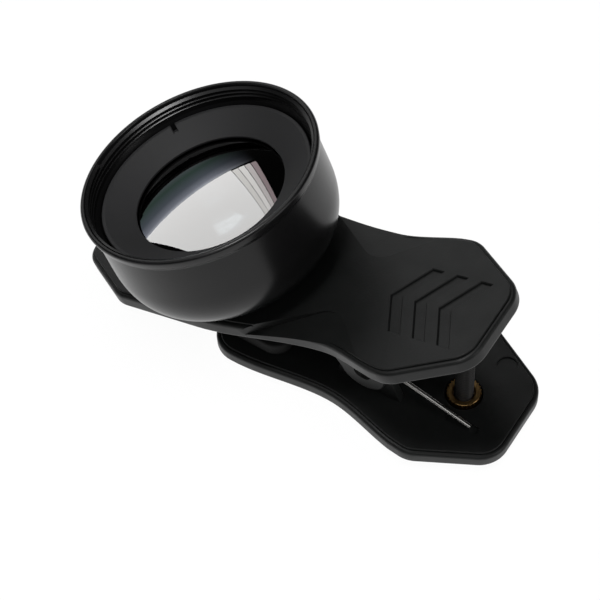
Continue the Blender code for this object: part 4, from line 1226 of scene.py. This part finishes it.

# Glass: three ground and polished elements with coated faces, a thin one above the neck, a thick one in the
# middle and the deep biconvex front one. The front one is tinted nearly black, painted shade that keeps the
# view into the lens dark. Their coatings take a little light, in some places a trace more.
DUST_SCALE = 220.0
DUST_DIM = 0.94
GLASS_STEPS = 32
GLASS_BREAK = 0.12


def coated_glass(name, tint_and_painted_shade, film, film_ior, glass_ior):
    """Polished optical glass with a thin coating; its film is in nanometres."""
    made, shader = named_material(name)
    tree = made.node_tree
    dust = noise(tree, object_spot(tree), DUST_SCALE, 5.0)
    tone = two_tones(tree, dust, tint_and_painted_shade, [DUST_DIM * part for part in tint_and_painted_shade])
    set_inputs(shader, Base_Color=tone, Roughness=0.0, IOR=glass_ior, Transmission_Weight=1.0)
    set_inputs(shader, Thin_Film_Thickness=film, Thin_Film_IOR=film_ior)
    return made


def glass_profile(radius, edge, top_z, top_dome, low_dome):
    """Profile of a lens element with a ground edge that is slightly chamfered."""
    top = []
    low = []
    for k in range(GLASS_STEPS + 1):
        x = (radius - GLASS_BREAK) * k / GLASS_STEPS
        top.append((x, top_z + dome_height(radius, top_dome, x)))
        low.append((x, top_z - edge - dome_height(radius, low_dome, x)))
    return top + [(radius, top_z - GLASS_BREAK), (radius, top_z - edge + GLASS_BREAK)] + low[::-1]


# The front glass's near-black tint is painted shade: it makes the glass almost opaque, so the view into the
# lens stays dark.
front_glass = coated_glass("front_lens_glass", (0.020, 0.024, 0.026), 0.0, 1.33, 1.85)
inner_glass = coated_glass("inner_lens_glass", (0.90, 0.98, 0.95), 410.0, 1.9, 1.52)
glass_elements = [
    ("rear_glass", inner_glass, (REAR_GLASS_R, 2.4, REAR_TOP, REAR_DOME, REAR_DOME)),
    ("middle_glass", inner_glass, (MIDDLE_GLASS_R, 2.6, MIDDLE_TOP, MIDDLE_DOME, MIDDLE_DOME)),
    ("front_glass", front_glass, (FRONT_GLASS_R, 3.0, FRONT_TOP, FRONT_DOME, FRONT_BACK_DOME)),
]
for element, made, sizes in glass_elements:
    mesh = turned_mesh(glass_profile(*sizes), False)
    piece = add_piece(element, "polished", mesh, lens_place, made, "upper")
    glass_pieces.objects.link(piece)
    not_lit_by_softboxes.objects.link(piece)
for member in not_lit_by_softboxes.collection_objects:
    member.light_linking.link_state = "EXCLUDE"

# Front baffle: a dull black cone that screws in under the filter thread and holds the front glass. A notch in
# its lip takes the spanner.
BAFFLE_TOP = 15.9
BAFFLE_H = 2.5
BAFFLE_OUTER = 17.1
BAFFLE_INNER = 12.15
NOTCH_ANGLE = math.radians(146.0)
NOTCH_HALF = 0.35
NOTCH_START = 15.5
NOTCH_ROUND = 0.2
NOTCH_DEPTH = 1.4
BAFFLE_SHARP = 40.0
CONE_OUTER = 16.5
CONE_DROP = 0.07
BORE_LAND = 0.3
CONE_SLOPE = (BAFFLE_H - BORE_LAND - CONE_DROP) / (CONE_OUTER - BAFFLE_INNER)
baffle_matt = turned_metal(
    "baffle_matt", lens_place, (0.0125, 0.0125, 0.0137), (0.019, 0.019, 0.0203), 0.0, 0.62, 0.000006,
    spacing=0.00018, spread=0.10,
)
baffle_low = BAFFLE_TOP - BAFFLE_H
cone_ring = NOTCH_START - 0.3
cone_ring_fall = (CONE_OUTER - NOTCH_START + 0.3) * CONE_SLOPE
baffle_profile = arc_profile(
    (BAFFLE_INNER, baffle_low, 0.0),
    (BAFFLE_INNER, baffle_low + BORE_LAND, 0.07),
    (cone_ring, BAFFLE_TOP - CONE_DROP - cone_ring_fall, 0.0),
    (CONE_OUTER, BAFFLE_TOP - CONE_DROP, 0.25),
    (17.0, BAFFLE_TOP, 0.10),
    (BAFFLE_OUTER, BAFFLE_TOP - 0.2, 0.05),
    (BAFFLE_OUTER, baffle_low, 0.0),
)
notch_end = BAFFLE_OUTER + SEAT_GAP
notch_outline = box_outline(NOTCH_START, notch_end, -NOTCH_HALF, NOTCH_HALF, NOTCH_ROUND, 0.0, 4)
notch_layers = [(notch_outline, BAFFLE_TOP - NOTCH_DEPTH), (notch_outline, BAFFLE_TOP + CLEAR)]
notch_mesh = layered_mesh("spanner_notch", notch_layers)
notch_mesh.transform(Matrix.Rotation(NOTCH_ANGLE, 4, "Z"))
baffle_mesh = carved(turned_mesh(baffle_profile, True), [(notch_mesh, "DIFFERENCE")], BAFFLE_SHARP)
add_piece("front_baffle", "turned", baffle_mesh, lens_place, baffle_matt, "upper")

# Lens barrel: turned from aluminium and anodised satin black. A wide flanged rim holds the filter thread, and
# a full-bodied bowl runs down to a narrow foot on the clip.
RIM_TOP = 19.0
BARREL_R = 18.7
BARREL_WALL = 1.3
BOWL_H = 9.7
FOOT_R = 10.6
BOWL_POWER = 0.86
BOWL_STEPS = 32
THREAD_ROOT = 18.5
THREAD_DEPTH = 0.41
THREAD_PITCH = 0.75
THREAD_FLOOR = 15.7
THREAD_STEPS = 160
THREAD_PLAIN_LOW = 0.4
THREAD_PLAIN_HIGH = 0.30
BARREL_STEPS = 256


def bowl_arc(shrink):
    """Full-bodied quarter ellipse of the bowl, from its side down to its foot, moved inwards by shrink."""
    wide = BARREL_R - FOOT_R - shrink
    deep = BOWL_H - SEAT_GAP - shrink
    arc = []
    for k in range(BOWL_STEPS + 1):
        turn = math.pi / 2.0 * k / BOWL_STEPS
        across = wide * max(math.cos(turn), 0.0) ** BOWL_POWER
        arc.append((FOOT_R + across, BOWL_H - deep * math.sin(turn) ** BOWL_POWER))
    return arc


rim_corners = [
    (THREAD_ROOT, THREAD_FLOOR, 0.0),
    (THREAD_ROOT, RIM_TOP - 0.25, 0.0),
    (THREAD_ROOT + 0.25, RIM_TOP, 0.08),
    (RIM_R, RIM_TOP, 0.42),
    (RIM_R - 0.3, RIM_TOP - 1.4, 0.12),
    (BARREL_R, RIM_TOP - 2.2, 0.30),
    (BARREL_R, BOWL_H + 0.2, 0.0),
]
barrel_profile = arc_profile(*rim_corners) + bowl_arc(0.0)
barrel_profile += [(LENS_HOLE_R, SEAT_GAP), (LENS_HOLE_R, SEAT_GAP + BARREL_WALL)]
barrel_profile += bowl_arc(BARREL_WALL)[::-1] + [(BARREL_R - BARREL_WALL, THREAD_FLOOR)]
barrel_anodised = turned_metal(
    "barrel_anodised", lens_place, (0.0045, 0.0045, 0.0047), (0.0075, 0.0075, 0.0078), 0.0, 0.27,
    mark_height=0.0000001, spacing=0.00030, spread=0.02, shine=0.28,
)
barrel_core = turned_mesh(barrel_profile, True, BARREL_STEPS)
barrel_mesh = threaded_mesh(
    barrel_core, barrel_anodised, THREAD_ROOT, -THREAD_DEPTH, THREAD_PITCH, THREAD_FLOOR + THREAD_PLAIN_LOW,
    RIM_TOP - THREAD_PLAIN_HIGH, THREAD_STEPS,
)
barrel = add_piece("lens_barrel", "turned", barrel_mesh, lens_place, barrel_anodised, "upper")
only_barrel.objects.link(barrel)
